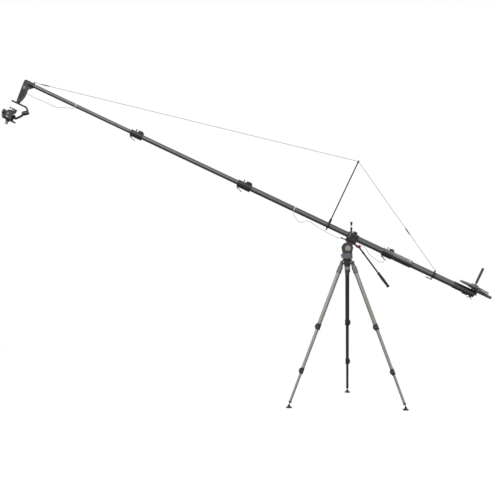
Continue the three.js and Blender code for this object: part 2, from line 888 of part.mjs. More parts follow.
const dialNear = -cheekOutside - gap;
const dialFar = dialNear - dialThickness;
const dialSolid = turned(
  [
    [0, dialFar + dialDish],
    [dialRadius - dialRimWidth, dialFar + dialDish],
    [dialRadius - dialRimWidth, dialFar],
    [dialRadius, dialFar],
    [dialRadius, dialNear],
    [axleEndRadius + gap, dialNear],
    [axleEndRadius + gap, -axleEnd - gap],
    [0, -axleEnd - gap],
  ],
  "y",
  legSides,
);
piece(placed(crane, tiltPoint), "drag_dial", dialSolid, "beige");

const slidePlateBottom = platformTop + gap;
const slidePlateTop = slidePlateBottom + slidePlateThickness;
const barClampNear = platformHalfWidth + gap;
const barClampFar = barClampNear + barClampDepth;
const barClampOutline = [
  [barClampFront, platformTop],
  [barClampFront + barClampNose, barClampBottom + barClampNose],
  [barPivotX - barHubRadius, barClampBottom],
  [barClampRear, barClampBottom],
  [barClampRear, slidePlateTop + barClampHornHeight],
  [barClampRear - barClampHorn, slidePlateTop + barClampHornHeight],
  [barClampRear - barClampHorn, slidePlateTop],
  [barClampFront, slidePlateTop],
];
const barPinEnd = barClampFar + gap + barHubWidth;
const barPivot = [barPivotX, 0, barPivotZ];
const barPin = bar(barPinRadius, barClampNear, barPinEnd, "y", smallSides, barPivot);
const barClampSolid = sidePlate(barClampOutline, barClampNear, barClampFar).add(barPin);
piece(tilt, "pan_bar_clamp", barClampSolid, "red");

const panBar = placed(tilt, barPivot, { y: panBarAngle });
const barNear = barClampFar + gap;
const barFar = barNear + barHubWidth;
const barMiddle = (barNear + barFar) / 2;
const barHub = bar(barHubRadius, barNear, barFar, "y");
const barHole = bar(barPinRadius + gap, barNear - overrun, barFar + overrun, "y");
const barRod = bar(
  barRadius, barPinRadius + gap, barRodLength + barGripChamfer, "x", smallSides, [0, barMiddle, 0]);
const barEnd = barRodLength + barGripLength;
const barGrip = turned(
  [
    [0, barRodLength],
    [barGripWaist, barRodLength],
    [barGripRadius, barRodLength + barGripChamfer],
    [barGripWaist, barRodLength + barGripLength / 3],
    [barGripRadius, barEnd - barGripChamfer],
    [barGripWaist, barEnd],
    [0, barEnd],
  ],
  "x",
  legSides,
  [0, barMiddle, 0],
);
piece(panBar, "pan_bar", cut(joined(barHub, barRod, barGrip), barHole), "blackPlastic");

const slidePlateSolid = block(
  [slidePlateFront, -slidePlateHalfWidth, slidePlateBottom],
  [slidePlateRear, slidePlateHalfWidth, slidePlateTop]);
piece(tilt, "sliding_plate", slidePlateSolid, "blackMetal");

// Boom tubes. In the boom's frame X runs along its axis, rearwards, and Z stands square to it.

const boom = placed(tilt, [0, 0, boomAboveTilt]);

function boomTube(name, radius, from, to, finish) {
  piece(boom, name, pipe(radius, radius - boomTubeWall, from, to, "x", tubeSides), finish);
}

const lipEnd = (lockAt) => lockAt + boomLockLip + gap;
boomTube("front_tube", frontTubeRadius, boomTipAt, frontLockAt + boomOverlap, "carbon");
boomTube("middle_tube", middleBoomRadius, lipEnd(frontLockAt), middleLockAt + boomOverlap, "carbon");
boomTube("main_front_tube", mainFrontRadius, lipEnd(middleLockAt), mainJointAt, "carbon");
boomTube("main_rear_tube", mainRearRadius, mainJointAt + gap, couplerJointAt, "carbon");

// Boom locks and their levers

function boomLock(name, at, length, tubeRadius, slidingRadius) {
  const end = at + length;
  const outside = tubeRadius + boomLockWall;
  const bore = tubeRadius + gap;
  const collar = bar(outside, at, end, "x", tubeSides);
  const barBottom = -outside - boomLockBarHeight;
  const lowBar = block(
    [at, -boomLockBarWidth / 2, barBottom], [end, boomLockBarWidth / 2, -tubeRadius]);
  const blockStart = end - length * boomLockBlockLengthShare;
  const top = outside + boomLockBlockHeight;
  const blockOutline = [
    [blockStart, tubeRadius],
    [end, tubeRadius],
    [end, outside + boomLockBlockHeight / 4],
    [blockStart + (end - blockStart) * boomLockBlockTopShare, top],
    [blockStart, top - boomLockBlockHeight / 4],
  ];
  const topBlock = sidePlate(blockOutline, -boomLockBlockWidth / 2, boomLockBlockWidth / 2);
  const knobAt = at + length * boomLockKnobPlaceShare;
  const knobStem = bar(
    boomLockKnobRadius / 2, tubeRadius, outside + boomLockKnobHeight, "z", tinySides, [knobAt, 0, 0]);
  const knob = ball(boomLockKnobRadius, [knobAt, 0, outside + boomLockKnobHeight], tinySides);
  const hub = [at + boomLeverInset, 0, barBottom - boomLeverDrop];
  const ears = [-1, 1].map((side) => {
    const near = side * (boomLeverHubWidth / 2 + gap);
    const far = near + side * boomLeverEarThickness;
    const [from, to] = [Math.min(near, far), Math.max(near, far)];
    const round = bar(boomLeverHubRadius, from, to, "y", tinySides, hub);
    const root = block(
      [hub[0] - boomLeverHubRadius, from, hub[2]], [hub[0] + boomLeverHubRadius, to, -tubeRadius]);
    return round.add(root);
  });
  const earOut = boomLeverHubWidth / 2 + gap + boomLeverEarThickness;
  const pin = bar(boomLeverPinRadius, -earOut, earOut, "y", tinySides, hub);
  const boreCut = bar(bore, slidingRadius ? at + boomLockLip : at - overrun, end + overrun, "x", tubeSides);
  const cuts = [boreCut];
  if (slidingRadius) cuts.push(bar(slidingRadius + gap, at - overrun, end, "x", tubeSides));
  const lockSolid = cut(joined(collar, lowBar, topBlock, knobStem, knob, ...ears, pin), ...cuts);
  piece(boom, name, lockSolid, "blackMetal");
  return hub;
}

const leverHub = bar(
  boomLeverHubRadius - gap, -boomLeverHubWidth / 2, boomLeverHubWidth / 2, "y", tinySides);
const leverRod = bar(boomLeverRadius, boomLeverPinRadius + gap, boomLeverLength, "x", tinySides);
const leverTip = ball(boomLeverRadius, [boomLeverLength, 0, 0], tinySides);
const leverHole = bar(boomLeverPinRadius + gap, -boomLeverHubWidth, boomLeverHubWidth, "y", tinySides);
const boomLeverSolid = cut(joined(leverHub, leverRod, leverTip), leverHole);

const boomLocks = [
  ["front", frontLockAt, frontLockLength, middleBoomRadius, frontTubeRadius],
  ["middle", middleLockAt, middleLockLength, mainFrontRadius, middleBoomRadius],
  ["rear", rearLockAt, rearLockLength, mainRearRadius, null],
];
for (const [place, at, length, tubeRadius, slidingRadius] of boomLocks) {
  const hub = boomLock(`boom_lock_${place}`, at, length, tubeRadius, slidingRadius);
  const swing = placed(boom, hub, { y: boomLeverAngle });
  piece(swing, `boom_lever_${place}`, boomLeverSolid, "blackMetal");
}

// Coupler sleeve and its button

const couplerBore = Math.max(mainRearRadius, rearTubeRadius) + gap;
const couplerSleeve = turned(
  [
    [couplerBore, couplerFront + gap],
    [couplerRadius - couplerChamfer, couplerFront + gap],
    [couplerRadius, couplerFront + gap + couplerChamfer],
    [couplerRadius, couplerRear - couplerChamfer],
    [couplerRadius - couplerChamfer, couplerRear],
    [couplerBore, couplerRear],
  ],
  "x",
  tubeSides,
);
const buttonFloor = couplerRadius - buttonPocketDepth;
const pocketGeometry = new THREE.CylinderGeometry(
  buttonRadius + gap, buttonRadius + gap, couplerRadius, smallSides);
pocketGeometry.rotateX(Math.PI / 2).translate(buttonAt, 0, buttonFloor + couplerRadius / 2);
const pocket = solidOf(pocketGeometry.rotateX(radians(buttonTurn)));
piece(boom, "tube_coupler", cut(couplerSleeve, pocket), "blackMetal");

const buttonTop = couplerRadius + buttonStand;
const buttonSolid = turned(
  [
    [0, buttonTop - buttonHeight],
    [buttonRadius, buttonTop - buttonHeight],
    [buttonRadius, buttonTop - gap],
    [buttonRadius - gap, buttonTop],
    [0, buttonTop],
  ],
  "z",
  smallSides,
);
piece(placed(boom, [buttonAt, 0, 0], { x: buttonTurn }), "coupler_button", buttonSolid, "white");

// Rear tube with the rear stay's bracket and its wing screw

const bracketRadius = rearTubeRadius + stayBracketWall;
const rearPipe = pipe(
  rearTubeRadius, rearTubeRadius - boomTubeWall, couplerJointAt + gap, rearTubeEnd, "x", tubeSides);
const bracketFrom = stayBracketAt - stayBracketWidth / 2;
const bracketRing = pipe(
  bracketRadius, rearTubeRadius - boomTubeWall / 2, bracketFrom, bracketFrom + stayBracketWidth,
  "x", tubeSides);
const rearLug = block(
  [stayBracketAt - stayEyeRadius, -stayLugThickness / 2, rearTubeRadius],
  [stayBracketAt + stayEyeRadius, stayLugThickness / 2, rearEyeHeight]);
const rearEye = bar(
  stayEyeRadius, -stayEyeWidth / 2, stayEyeWidth / 2, "y", smallSides, [stayBracketAt, 0, rearEyeHeight]);
const wingLevel = -bracketRadius - wingStemLength;
const wingStem = bar(wingStemRadius, wingLevel, -rearTubeRadius, "z", smallSides, [stayBracketAt, 0, 0]);
const wing = bar(
  wingRadius, stayBracketAt - wingLength, stayBracketAt + wingRadius, "x", smallSides, [0, 0, wingLevel]);
const rearTubeSolid = joined(rearPipe, bracketRing, rearLug, rearEye, wingStem, wing);
piece(boom, "rear_tube", rearTubeSolid, "rearCarbon");

// Rear clamp with the operator's handle

const seatHeight = weightPlateBottom - weightHubThickness;
const clampBore = rearTubeRadius + gap;
const sleeve = turned(
  [
    [0, rearTubeEnd + gap],
    [clampBore, rearTubeEnd + gap],
    [clampBore, rearClampFront],
    [rearClampRadius - gap, rearClampFront],
    [rearClampRadius, rearClampFront + rearClampChamfer],
    [rearClampRadius, rearClampEnd - rearClampChamfer],
    [rearClampRadius - rearClampChamfer, rearClampEnd],
    [0, rearClampEnd],
  ],
  "x",
  tubeSides,
);
const weightSeat = bar(weightSeatRadius, 0, seatHeight, "z", legSides, [weightAt, 0, 0]);
const handleBlock = block(
  [rearClampEnd - rearClampChamfer, -handleBlockWidth / 2, -handleRadius / 2],
  [rearClampEnd + handleBlockLength, handleBlockWidth / 2, handleHeight]);
const handleStart = rearClampEnd - rearClampChamfer;
const handleTube = turned(
  [
    [0, handleStart],
    [handleRadius, handleStart],
    ...arc(handleRadius, handleEnd - handleRadius, 0, 90),
  ],
  "x",
  legSides,
  [0, 0, handleHeight],
);
const spindleHole = bar(
  spindleBoltRadius + gap, -rearClampRadius - overrun, seatHeight + overrun, "z", smallSides,
  [weightAt, 0, 0]);
const rearClampSolid = cut(joined(sleeve, weightSeat, handleBlock, handleTube), spindleHole);
piece(boom, "rear_clamp", rearClampSolid, "rearCarbon");

// Weight plate and spindle, in a frame on the spindle's axis

const weight = placed(boom, [weightAt, 0, 0]);
const weightPlateTop = weightPlateBottom + weightPlateThickness;
const plateBore = spindleBoltRadius + gap;
const weightPlateSolid = turned(
  [
    [plateBore, seatHeight + gap],
    [weightHubRadius, seatHeight + gap],
    [weightHubRadius, weightPlateBottom],
    [weightPlateRadius, weightPlateBottom],
    [weightPlateRadius, weightPlateTop],
    [plateBore, weightPlateTop],
  ],
  "z",
  tubeSides * 2,
);
const handleRoom = bar(
  handleRadius + gap, handleStart - weightAt - overrun, handleEnd - weightAt + overrun, "x",
  legSides, [0, 0, handleHeight]);
piece(weight, "weight_plate", cut(weightPlateSolid, handleRoom), "steelPlate");

const collarBottom = weightPlateTop + spindleCollarGap;
const wingNutTop = -rearClampRadius - gap;
const wingNutBottom = wingNutTop - wingNutLength;
const spindleBolt = bar(spindleBoltRadius, wingNutBottom, spindleHandleFoot, "z");
const spindleCollar = bar(
  spindleCollarRadius, collarBottom, collarBottom + spindleCollarThickness, "z", legSides);
const spindleHandle = bar(
  spindleHandleRadius, spindleHandleFoot, spindleHandleTop, "z", legSides);
const wingNutHub = bar(wingNutRadius, wingNutBottom, wingNutTop, "z");
const wings = [-1, 1].map((side) => {
  const root = side * wingNutRadius * wingNutRootShare;
  const tip = (side * wingNutSpan) / 2;
  const outline = [
    [root, wingNutTop - wingNutThickness],
    [tip, wingNutBottom - wingNutHeight * wingNutTipDropShare],
    [tip * wingNutShoulderShare, wingNutBottom - wingNutHeight * wingNutShoulderDropShare],
    [root, wingNutBottom],
  ];
  return sidePlate(side > 0 ? outline.reverse() : outline, -wingNutThickness / 2, wingNutThickness / 2);
});
const spindleSolid = joined(spindleBolt, spindleCollar, spindleHandle, wingNutHub, ...wings);
piece(weight, "weight_spindle", spindleSolid, "blackMetal");

// Fulcrum block with its knob

const fulcrumBottom = slidePlateTop + gap - boomAboveTilt;
const fulcrumOutline = new THREE.Shape();
const fulcrumArcY = fulcrumHalfWidth - fulcrumCornerRadius;
const fulcrumArcZ = fulcrumTop - fulcrumCornerRadius;
fulcrumOutline.moveTo(-fulcrumHalfWidth, fulcrumBottom);
fulcrumOutline.lineTo(fulcrumHalfWidth, fulcrumBottom);
fulcrumOutline.absarc(fulcrumArcY, fulcrumArcZ, fulcrumCornerRadius, 0, Math.PI / 2, false);
fulcrumOutline.absarc(-fulcrumArcY, fulcrumArcZ, fulcrumCornerRadius, Math.PI / 2, Math.PI, false);
const fulcrumBody = crossBlock(fulcrumOutline, fulcrumFront, fulcrumRear);
const fulcrumKnob = turned(
  [
    [0, mainRearRadius + gap],
    [fulcrumKnobRadius, mainRearRadius + gap],
    [fulcrumKnobRadius, fulcrumTop + fulcrumKnobHeight / 2],
    [fulcrumKnobRadius / 2, fulcrumTop + fulcrumKnobHeight],
    [0, fulcrumTop + fulcrumKnobHeight],
  ],
  "z",
  smallSides,
  [fulcrumKnobAt, 0, 0],
);
const frontBore = bar(mainFrontRadius + gap, fulcrumFront - overrun, mainJointAt, "x", tubeSides);
const rearBore = bar(mainRearRadius + gap, mainJointAt, fulcrumRear + overrun, "x", tubeSides);
const fulcrumSolid = cut(joined(fulcrumBody, fulcrumKnob), frontBore, rearBore);
piece(boom, "fulcrum_block", fulcrumSolid, "blackMetal");

// Small ball mount, upright whatever the boom's pitch in this pose

const ballMount = placed(boom, [ballMountAt, 0, fulcrumTop], { y: -boomPitch });
const mountSink = ballMountFootRadius * sine(boomPitch);
const mountNeckTop = ballMountFootHeight + ballMountNeckHeight;
const mountTop = mountNeckTop + ballMountHeadHeight;
const mountFoot = bar(ballMountFootRadius, -mountSink * 2, ballMountFootHeight, "z");
const mountNeck = bar(ballMountNeckRadius, ballMountFootHeight - overrun, mountNeckTop + overrun, "z");
const mountHead = bar(ballMountHeadRadius, mountNeckTop, mountTop, "z", legSides);
const footTrim = block(
  [-fulcrumHalfWidth, -fulcrumHalfWidth, -fulcrumHalfWidth],
  [fulcrumHalfWidth, fulcrumHalfWidth, gap]);
const tiltedTrim = solidOf(geometryOf(footTrim).rotateY(radians(boomPitch)));
const mountSolid = cut(joined(mountFoot, mountNeck, mountHead), tiltedTrim);
piece(ballMount, "monitor_mount", mountSolid, "chrome");

// Mast with clamp, cap and T screw

const mast = placed(boom, [mastAt, 0, 0]);
const mastClampRadius = mainFrontRadius + mastClampWall;
const mastRing = pipe(
  mastClampRadius, mainFrontRadius + gap, -mastClampWidth / 2, mastClampWidth / 2, "x", tubeSides);
const mastBoss = block(
  [-mastBossWidth / 2, -mastBossWidth / 2, mainFrontRadius + gap + mastClampWall / 2],
  [mastBossWidth / 2, mastBossWidth / 2, mainFrontRadius + mastBossLength]);
const mastRod = bar(mastRadius, mastClampRadius, mastHeight, "z");
const mastCap = bar(mastCapRadius, mastHeight - mastCapLength, mastHeight, "z");
const mastEyeHeight = mastHeight - mastEyeBelowTop;
const mastEye = bar(
  mastCapRadius, -stayEyeWidth / 2, stayEyeWidth / 2, "y", smallSides, [0, 0, mastEyeHeight]);
const mastKnobLevel = -mastClampRadius - mastScrewLength;
const mastScrew = bar(mastScrewRadius, mastKnobLevel, -mainFrontRadius - gap - mastClampWall / 2, "z");
const mastKnob = bar(
  mastKnobRadius, -mastKnobLength / 2, mastKnobLength / 2, "y", smallSides, [0, 0, mastKnobLevel]);
const mastTubeHole = bar(mainFrontRadius + gap, -mastClampWidth, mastClampWidth, "x", tubeSides);
const mastSolid = cut(
  joined(mastRing, mastBoss, mastRod, mastCap, mastEye, mastScrew, mastKnob), mastTubeHole);
piece(mast, "mast", mastSolid, "blackMetal");

// Bracket at the boom's tip

const tipCollarEnd = boomTipAt + tipCollarLength;
const tipCollarRadius = frontTubeRadius + tipCollarWall;
const tipCollar = bar(tipCollarRadius, boomTipAt - tipCollarWall, tipCollarEnd, "x", tubeSides);
const tipPlateOutline = [
  [tipPlateFront, -tipPlateHalfHeight],
  [tipPlateRear, -tipPlateHalfHeight],
  [tipPlateRear, tipPlateHalfHeight],
  [tipPlateFront + tipPlateHalfHeight * tipPlateFrontShare, tipPlateHalfHeight],
  [tipPlateFront, tipPlateHalfHeight * tipPlateFrontShare],
];
const tipPlate = sidePlate(tipPlateOutline, -tipPlateHalfWidth, tipPlateHalfWidth);
const gussetFront = gimbalAt + handleRearBulge + gap;
const tipGusset = sidePlate(
  [
    [gussetFront, -tipPlateHalfHeight - tipGussetHeight],
    [gussetFront + tipGussetLength, -frontTubeRadius - gap],
    [gussetFront, -frontTubeRadius - gap],
  ],
  -tipGussetHalfWidth,
  tipGussetHalfWidth,
);
const frontLug = block(
  [frontEyeAt - stayEyeRadius, -stayLugThickness / 2, frontTubeRadius + tipCollarWall / 2],
  [frontEyeAt + stayEyeRadius, stayLugThickness / 2, frontEyeHeight]);
const frontEye = bar(
  stayEyeRadius, -stayEyeWidth / 2, stayEyeWidth / 2, "y", smallSides, [frontEyeAt, 0, frontEyeHeight]);
const tipBore = bar(frontTubeRadius + gap, boomTipAt - gap, tipCollarEnd + overrun, "x", tubeSides);
const tipSolid = cut(joined(tipCollar, tipPlate, tipGusset, frontLug, frontEye), tipBore);
piece(boom, "tip_bracket", tipSolid, "blackMetal");

// Stay wires, each pulled straight between two eyes, with a turnbuckle

function stay(name, from, to, toRadius, buckleShare) {
  const [start, end] = [new THREE.Vector3(...from), new THREE.Vector3(...to)];
  const span = end.clone().sub(start);
  const direction = span.clone().normalize();
  const startGap = (mastCapRadius + gap - stayWireRadius * direction.z) / Math.abs(direction.x);
  const length = span.length() - startGap - toRadius - gap;
  const buckle = length * buckleShare;
  const wire = bar(stayWireRadius, 0, length, "z", wireSides);
  const body = bar(
    turnbuckleRadius, buckle - turnbuckleLength / 2, buckle + turnbuckleLength / 2, "z", wireSides);
  const mesh = piece(boom, name, wire.add(body), "paleMetal");
  mesh.position.copy(start.addScaledVector(direction, startGap));
  mesh.quaternion.setFromUnitVectors(new THREE.Vector3(0, 0, 1), direction);
}

const mastEyePlace = [mastAt, 0, mastEyeHeight];
stay("front_stay", mastEyePlace, [frontEyeAt, 0, frontEyeHeight], stayEyeRadius, frontTurnbuckleShare);
stay("rear_stay", mastEyePlace, [stayBracketAt, 0, rearEyeHeight], stayEyeRadius, rearTurnbuckleShare);

// Gimbal handle, hanging square to the boom, with the pan motor at its foot

const gimbal = placed(boom, [gimbalAt, 0, 0]);
const handleTopDepth = Math.max(tipPlateHalfHeight, tipCollarRadius) + gap;
const panMotorBottom = handleFootDepth + panMotorBelowHandle;
const gimbalCentreDepth = panMotorBottom + gimbalCentreBelowMotor;
const handleOutline = [
  [-handleFrontFoot, -handleFootDepth],
  [handleRearFoot, -handleFootDepth],
  [handleRearWaist, -handleWaistDepth],
  [handleRearBulge, -handleBulgeDepth],
  [handleRearTop, -handleTopDepth],
  [-handleFrontTop, -handleTopDepth],
];
const grip = sidePlate(handleOutline, -handleGripHalfWidth, handleGripHalfWidth);
const panMotor = bar(panMotorRadius, -panMotorBottom, -panMotorBottom + panMotorHeight, "z", legSides);
piece(gimbal, "gimbal_handle", grip.add(panMotor), "blackPlastic");

// Pan arm with the roll motor

const panArmTop = -panMotorBottom - gap;
const armLevel = panArmTop - panArmHubThickness - panArmThickness / 2;
const panHub = bar(
  panMotorRadius, armLevel - panArmThickness / 2, panArmTop, "z", legSides);
const armBar = block(
  [-panArmTail, -panArmWidth / 2, armLevel - panArmThickness / 2],
  [panArmReach, panArmWidth / 2, armLevel + panArmThickness / 2]);
const rollAlong = [cosine(rollAxisAngle), sine(rollAxisAngle)];
const rollMotorPlace = [
  rollMotorDistance * rollAlong[0], 0, -gimbalCentreDepth + rollMotorDistance * rollAlong[1]];
const rollMotorGeometry = new THREE.CylinderGeometry(
  rollMotorRadius, rollMotorRadius, rollMotorLength, legSides);
rollMotorGeometry.rotateZ(-Math.PI / 2).rotateY(radians(-rollAxisAngle));
rollMotorGeometry.translate(...rollMotorPlace);
const armBend = swept(
  flatSection(panArmWidth, panArmThickness),
  [
    [panArmReach - panArmThickness, 0, armLevel],
    [panArmReach, 0, armLevel],
    [panArmBendReach, 0, armLevel - panArmBendDrop],
    [panArmEndReach, 0, armLevel - panArmEndDrop],
    [rollMotorPlace[0], 0, rollMotorPlace[2]],
  ],
  arcSteps * 2,
);
const panArmSolid = joined(panHub, armBar, armBend, solidOf(rollMotorGeometry));
piece(gimbal, "pan_arm", panArmSolid, "blackPlastic");

// Roll arm with the tilt motor, in a frame at the crossing of the three axes

const centre = placed(gimbal, [0, 0, -gimbalCentreDepth]);
// A point by its distance along the roll axis, its offset below that axis, and its side.
function rollPoint(distance, offset, side) {
  const [c, s] = rollAlong;
  return [distance * c + offset * s, side, distance * s - offset * c];
}
const rollFace = rollMotorDistance - rollMotorLength / 2 - gap;
const rollDiscGeometry = new THREE.CylinderGeometry(
  rollDiscRadius, rollDiscRadius, rollDiscThickness, legSides);
rollDiscGeometry.rotateZ(-Math.PI / 2).rotateY(radians(-rollAxisAngle));
rollDiscGeometry.translate(...rollPoint(rollFace - rollDiscThickness / 2, 0, 0));
const rollArmBar = swept(
  flatSection(rollArmWidth, rollArmDepth),
  [
    rollPoint(rollFace - rollDiscThickness / 2, rollArmStartOffset, 0),
    rollPoint(rollArmBendAlong, rollArmBendOffset, rollArmBendSide),
    rollPoint(rollArmRunAlong, rollArmRunOffset, rollArmRunSide),
    rollPoint(rollArmEndAlong, rollArmEndOffset, rollArmSide),
    [0, rollArmSide, 0],
  ],
  arcSteps * 3,
);
const tiltMotorNear = cradleInside + cradleArmThickness + gap;
const tiltMotor = bar(tiltMotorRadius, tiltMotorNear, tiltMotorNear + tiltMotorLength, "y", legSides);
const rollRoomGeometry = new THREE.CylinderGeometry(
  rollMotorRadius + rollArmDepth, rollMotorRadius + rollArmDepth, rollMotorLength, legSides);
rollRoomGeometry.rotateZ(-Math.PI / 2).rotateY(radians(-rollAxisAngle));
rollRoomGeometry.translate(...rollPoint(rollFace + rollMotorLength / 2, 0, 0));
const cradleRoom = block(
  [-rollDiscRadius, -cradleInside, -gimbalCentreDepth], [rollDiscRadius, tiltMotorNear, gimbalCentreDepth]);
const rollArmSolid = joined(
  cut(rollArmBar, cradleRoom, solidOf(rollRoomGeometry)), solidOf(rollDiscGeometry), tiltMotor);
piece(centre, "roll_arm", rollArmSolid, "blackPlastic");

// Camera cradle

const cradleOutside = cradleInside + cradleArmThickness;
const plateBottom = cradlePlateTop - cradlePlateThickness;
const cradleHub = bar(cradleArmRadius, cradleInside, cradleOutside, "y", legSides);
const cradleSide = block(
  [-cradleArmRadius, cradleInside, plateBottom], [cradleArmRadius, cradleOutside, 0]);
const cradleFloor = block(
  [-cradleArmRadius, 0, plateBottom], [cradleArmRadius, cradleOutside, cradlePlateTop]);
const tailStart = cradlePlateRear - cradleTailLength;
const cradlePlate = block(
  [cradlePlateFront, -cradlePlateHalfWidth, plateBottom],
  [tailStart, cradlePlateHalfWidth, cradlePlateTop]);
const cradleTail = block(
  [tailStart - overrun, -cradleTailHalfWidth, plateBottom],
  [cradlePlateRear, cradleTailHalfWidth, cradlePlateTop]);
const bossBottom = plateBottom - cradleBossHeight;
const knobFoot = bossBottom - cradleKnobHeight;
const cradleBoss = bar(
  cradleBossRadius, bossBottom, plateBottom + overrun, "z", legSides, [cradleKnobAt, 0, 0]);
const cradleKnob = bar(
  cradleKnobRadius, knobFoot, bossBottom + overrun, "z", legSides, [cradleKnobAt, 0, 0]);
const cradleSolid = joined(
  cradleHub, cradleSide, cradleFloor, cradlePlate, cradleTail, cradleBoss, cradleKnob);
piece(centre, "camera_cradle", cradleSolid, "blackMetal");

// Camera with lens, finder, transmitter and its antenna

const cameraBody = block(
  [cameraFront, -cameraHalfWidth, cradlePlateTop + gap], [cameraRear, cameraHalfWidth, cameraTop]);
const finder = block(
  [cameraFront, -finderHalfWidth, 0], [finderRear, finderHalfWidth, finderTop]);
const lensPlace = [0, 0, lensAxisHeight];
const hoodStart = lensFront + lensHoodLength;
const lens = turned(
  [
    [0, lensFront + lensBoreDepth],
    [lensHoodRadius - lensWall, lensFront],
    [lensHoodRadius, lensFront],
    [lensHoodRadius, hoodStart],
    [lensRadius, hoodStart],
    [lensRadius, cameraFront + overrun],
    [0, cameraFront + overrun],
  ],
  "x",
  tubeSides,
  lensPlace,
);
const transmitter = block(
  [transmitterFront, -transmitterHalfWidth, 0], [transmitterRear, transmitterHalfWidth, transmitterTop]);
const antennaEnd = transmitterFront - antennaReach;
const antenna = bar(
  antennaRadius, antennaEnd, transmitterFront + overrun, "x", smallSides, [0, 0, antennaHeight]);
const antennaBall = ball(antennaBallRadius, [antennaEnd, 0, antennaHeight]);
const cameraSolid = joined(cameraBody, finder, lens, transmitter, antenna, antennaBall);
piece(centre, "camera", cameraSolid, "blackPlastic");

// Control wires

function controlWire(name, route) {
  const curve = new THREE.CatmullRomCurve3(
    route.map((point) => new THREE.Vector3(...point)), false, "centripetal");
  const evenSteps = Math.round(curve.getLength() / (controlWireRadius * 2 * wireStep));
  const steps = Math.min(evenSteps, wireStepsMost);
  piece(boom, name, swept(roundSection(controlWireRadius, wireSides), route, steps), "blackPlastic");
}

controlWire("front_wire", frontWireRoute);
controlWire("boom_wire", boomWireRoute);

// The origin goes to the middle of the base.

crane.updateMatrixWorld(true);
const reach = new THREE.Box3().setFromObject(crane, true);
const middle = reach.getCenter(new THREE.Vector3());
crane.position.set(-middle.x, -middle.y, -reach.min.z);

const part = new THREE.Group();
part.add(crane);
export default part;
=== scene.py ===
import json
from math import atan2, ceil, cos, pi, radians, sin, tan

import bmesh
import bpy
from mathutils import Matrix, Vector


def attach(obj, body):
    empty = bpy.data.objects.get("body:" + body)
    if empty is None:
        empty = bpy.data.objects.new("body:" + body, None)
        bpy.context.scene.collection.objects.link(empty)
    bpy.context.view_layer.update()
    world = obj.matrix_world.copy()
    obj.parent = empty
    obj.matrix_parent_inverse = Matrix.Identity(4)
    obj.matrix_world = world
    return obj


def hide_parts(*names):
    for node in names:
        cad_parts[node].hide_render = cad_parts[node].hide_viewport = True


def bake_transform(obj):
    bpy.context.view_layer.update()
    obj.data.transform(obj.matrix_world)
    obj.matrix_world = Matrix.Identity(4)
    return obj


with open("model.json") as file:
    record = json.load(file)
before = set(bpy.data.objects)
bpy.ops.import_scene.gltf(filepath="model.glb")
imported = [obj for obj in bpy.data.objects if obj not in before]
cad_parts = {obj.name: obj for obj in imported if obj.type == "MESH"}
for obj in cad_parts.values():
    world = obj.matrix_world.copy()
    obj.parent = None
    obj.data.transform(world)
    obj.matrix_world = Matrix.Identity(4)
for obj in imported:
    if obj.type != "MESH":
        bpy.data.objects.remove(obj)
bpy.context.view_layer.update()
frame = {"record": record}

# Camera and studio
# The crane was photographed from its left side, at about chest height and ten metres away,
# against white. The lamps are large and soft, and the floor is a plain pale one.
JOINTS = {joint["name"]: joint for joint in frame["record"]["behaviour"]["joints"]}
TILT_POINT = Vector(JOINTS["head_tilt"]["pos_m"])
PAN_AXIS = Vector((TILT_POINT.x, TILT_POINT.y, 0))
CAMERA_FROM_AXIS = Vector((-1.05, -9.85, 1.747))
CAMERA_DIP = 0.62
CAMERA_LENS = 68.07
CAMERA_SENSOR = 36.0
WHITE = (1.0, 1.0, 1.0, 1.0)
FLOOR_COLOUR = (0.93, 0.93, 0.925)
FLOOR_BOUNCE = (0.3, 0.3, 0.295)
FLOOR_REACH = 60.0
FLOOR_BELOW = 0.0005
FLOOR_WHITENESS = 0.72
FLOOR_FADE_START = 1.5
FLOOR_FADE_END = 6.0
SKY_HORIZON = 0.3
SKY_ZENITH = 1.15
LAMP_SIZE = (7.0, 4.0)
LAMP_TARGET = Vector((0, 0, 1.6))
LAMPS = {"front_softbox": ((-1.5, -5.0, 6.5), 330.0), "back_softbox": ((2.5, 5.5, 5.0), 120.0)}

scene = bpy.context.scene
scene.view_settings.view_transform = "Standard"
camera_data = bpy.data.cameras.new("photo_camera")
camera_data.lens = CAMERA_LENS
camera_data.sensor_width = CAMERA_SENSOR
camera = bpy.data.objects.new("photo_camera", camera_data)
camera.location = PAN_AXIS + CAMERA_FROM_AXIS
camera.rotation_euler = (radians(90 - CAMERA_DIP), 0, 0)
scene.collection.objects.link(camera)
scene.camera = camera

for name, (place, power) in LAMPS.items():
    lamp_data = bpy.data.lights.new(name, "AREA")
    lamp_data.shape = "RECTANGLE"
    lamp_data.size, lamp_data.size_y = LAMP_SIZE
    lamp_data.energy = power
    lamp = bpy.data.objects.new(name, lamp_data)
    lamp.location = place
    lamp.rotation_euler = (LAMP_TARGET - Vector(place)).to_track_quat("-Z", "Y").to_euler()
    scene.collection.objects.link(lamp)


class Reading:
    """A number that varies over a surface, so that a finish's sums are written as sums."""

    def __init__(self, shader, socket):
        self.shader = shader
        self.socket = socket

    def _sum(self, operation, first, second):
        node = self.shader.node("ShaderNodeMath", {0: first, 1: second}, operation=operation)
        return Reading(self.shader, node.outputs[0])

    def __add__(self, other):
        return self._sum("ADD", self, other)

    def __mul__(self, other):
        return self._sum("MULTIPLY", self, other)

    def __pow__(self, other):
        return self._sum("POWER", self, other)

    def or_higher(self, other):
        return self._sum("MAXIMUM", self, other)


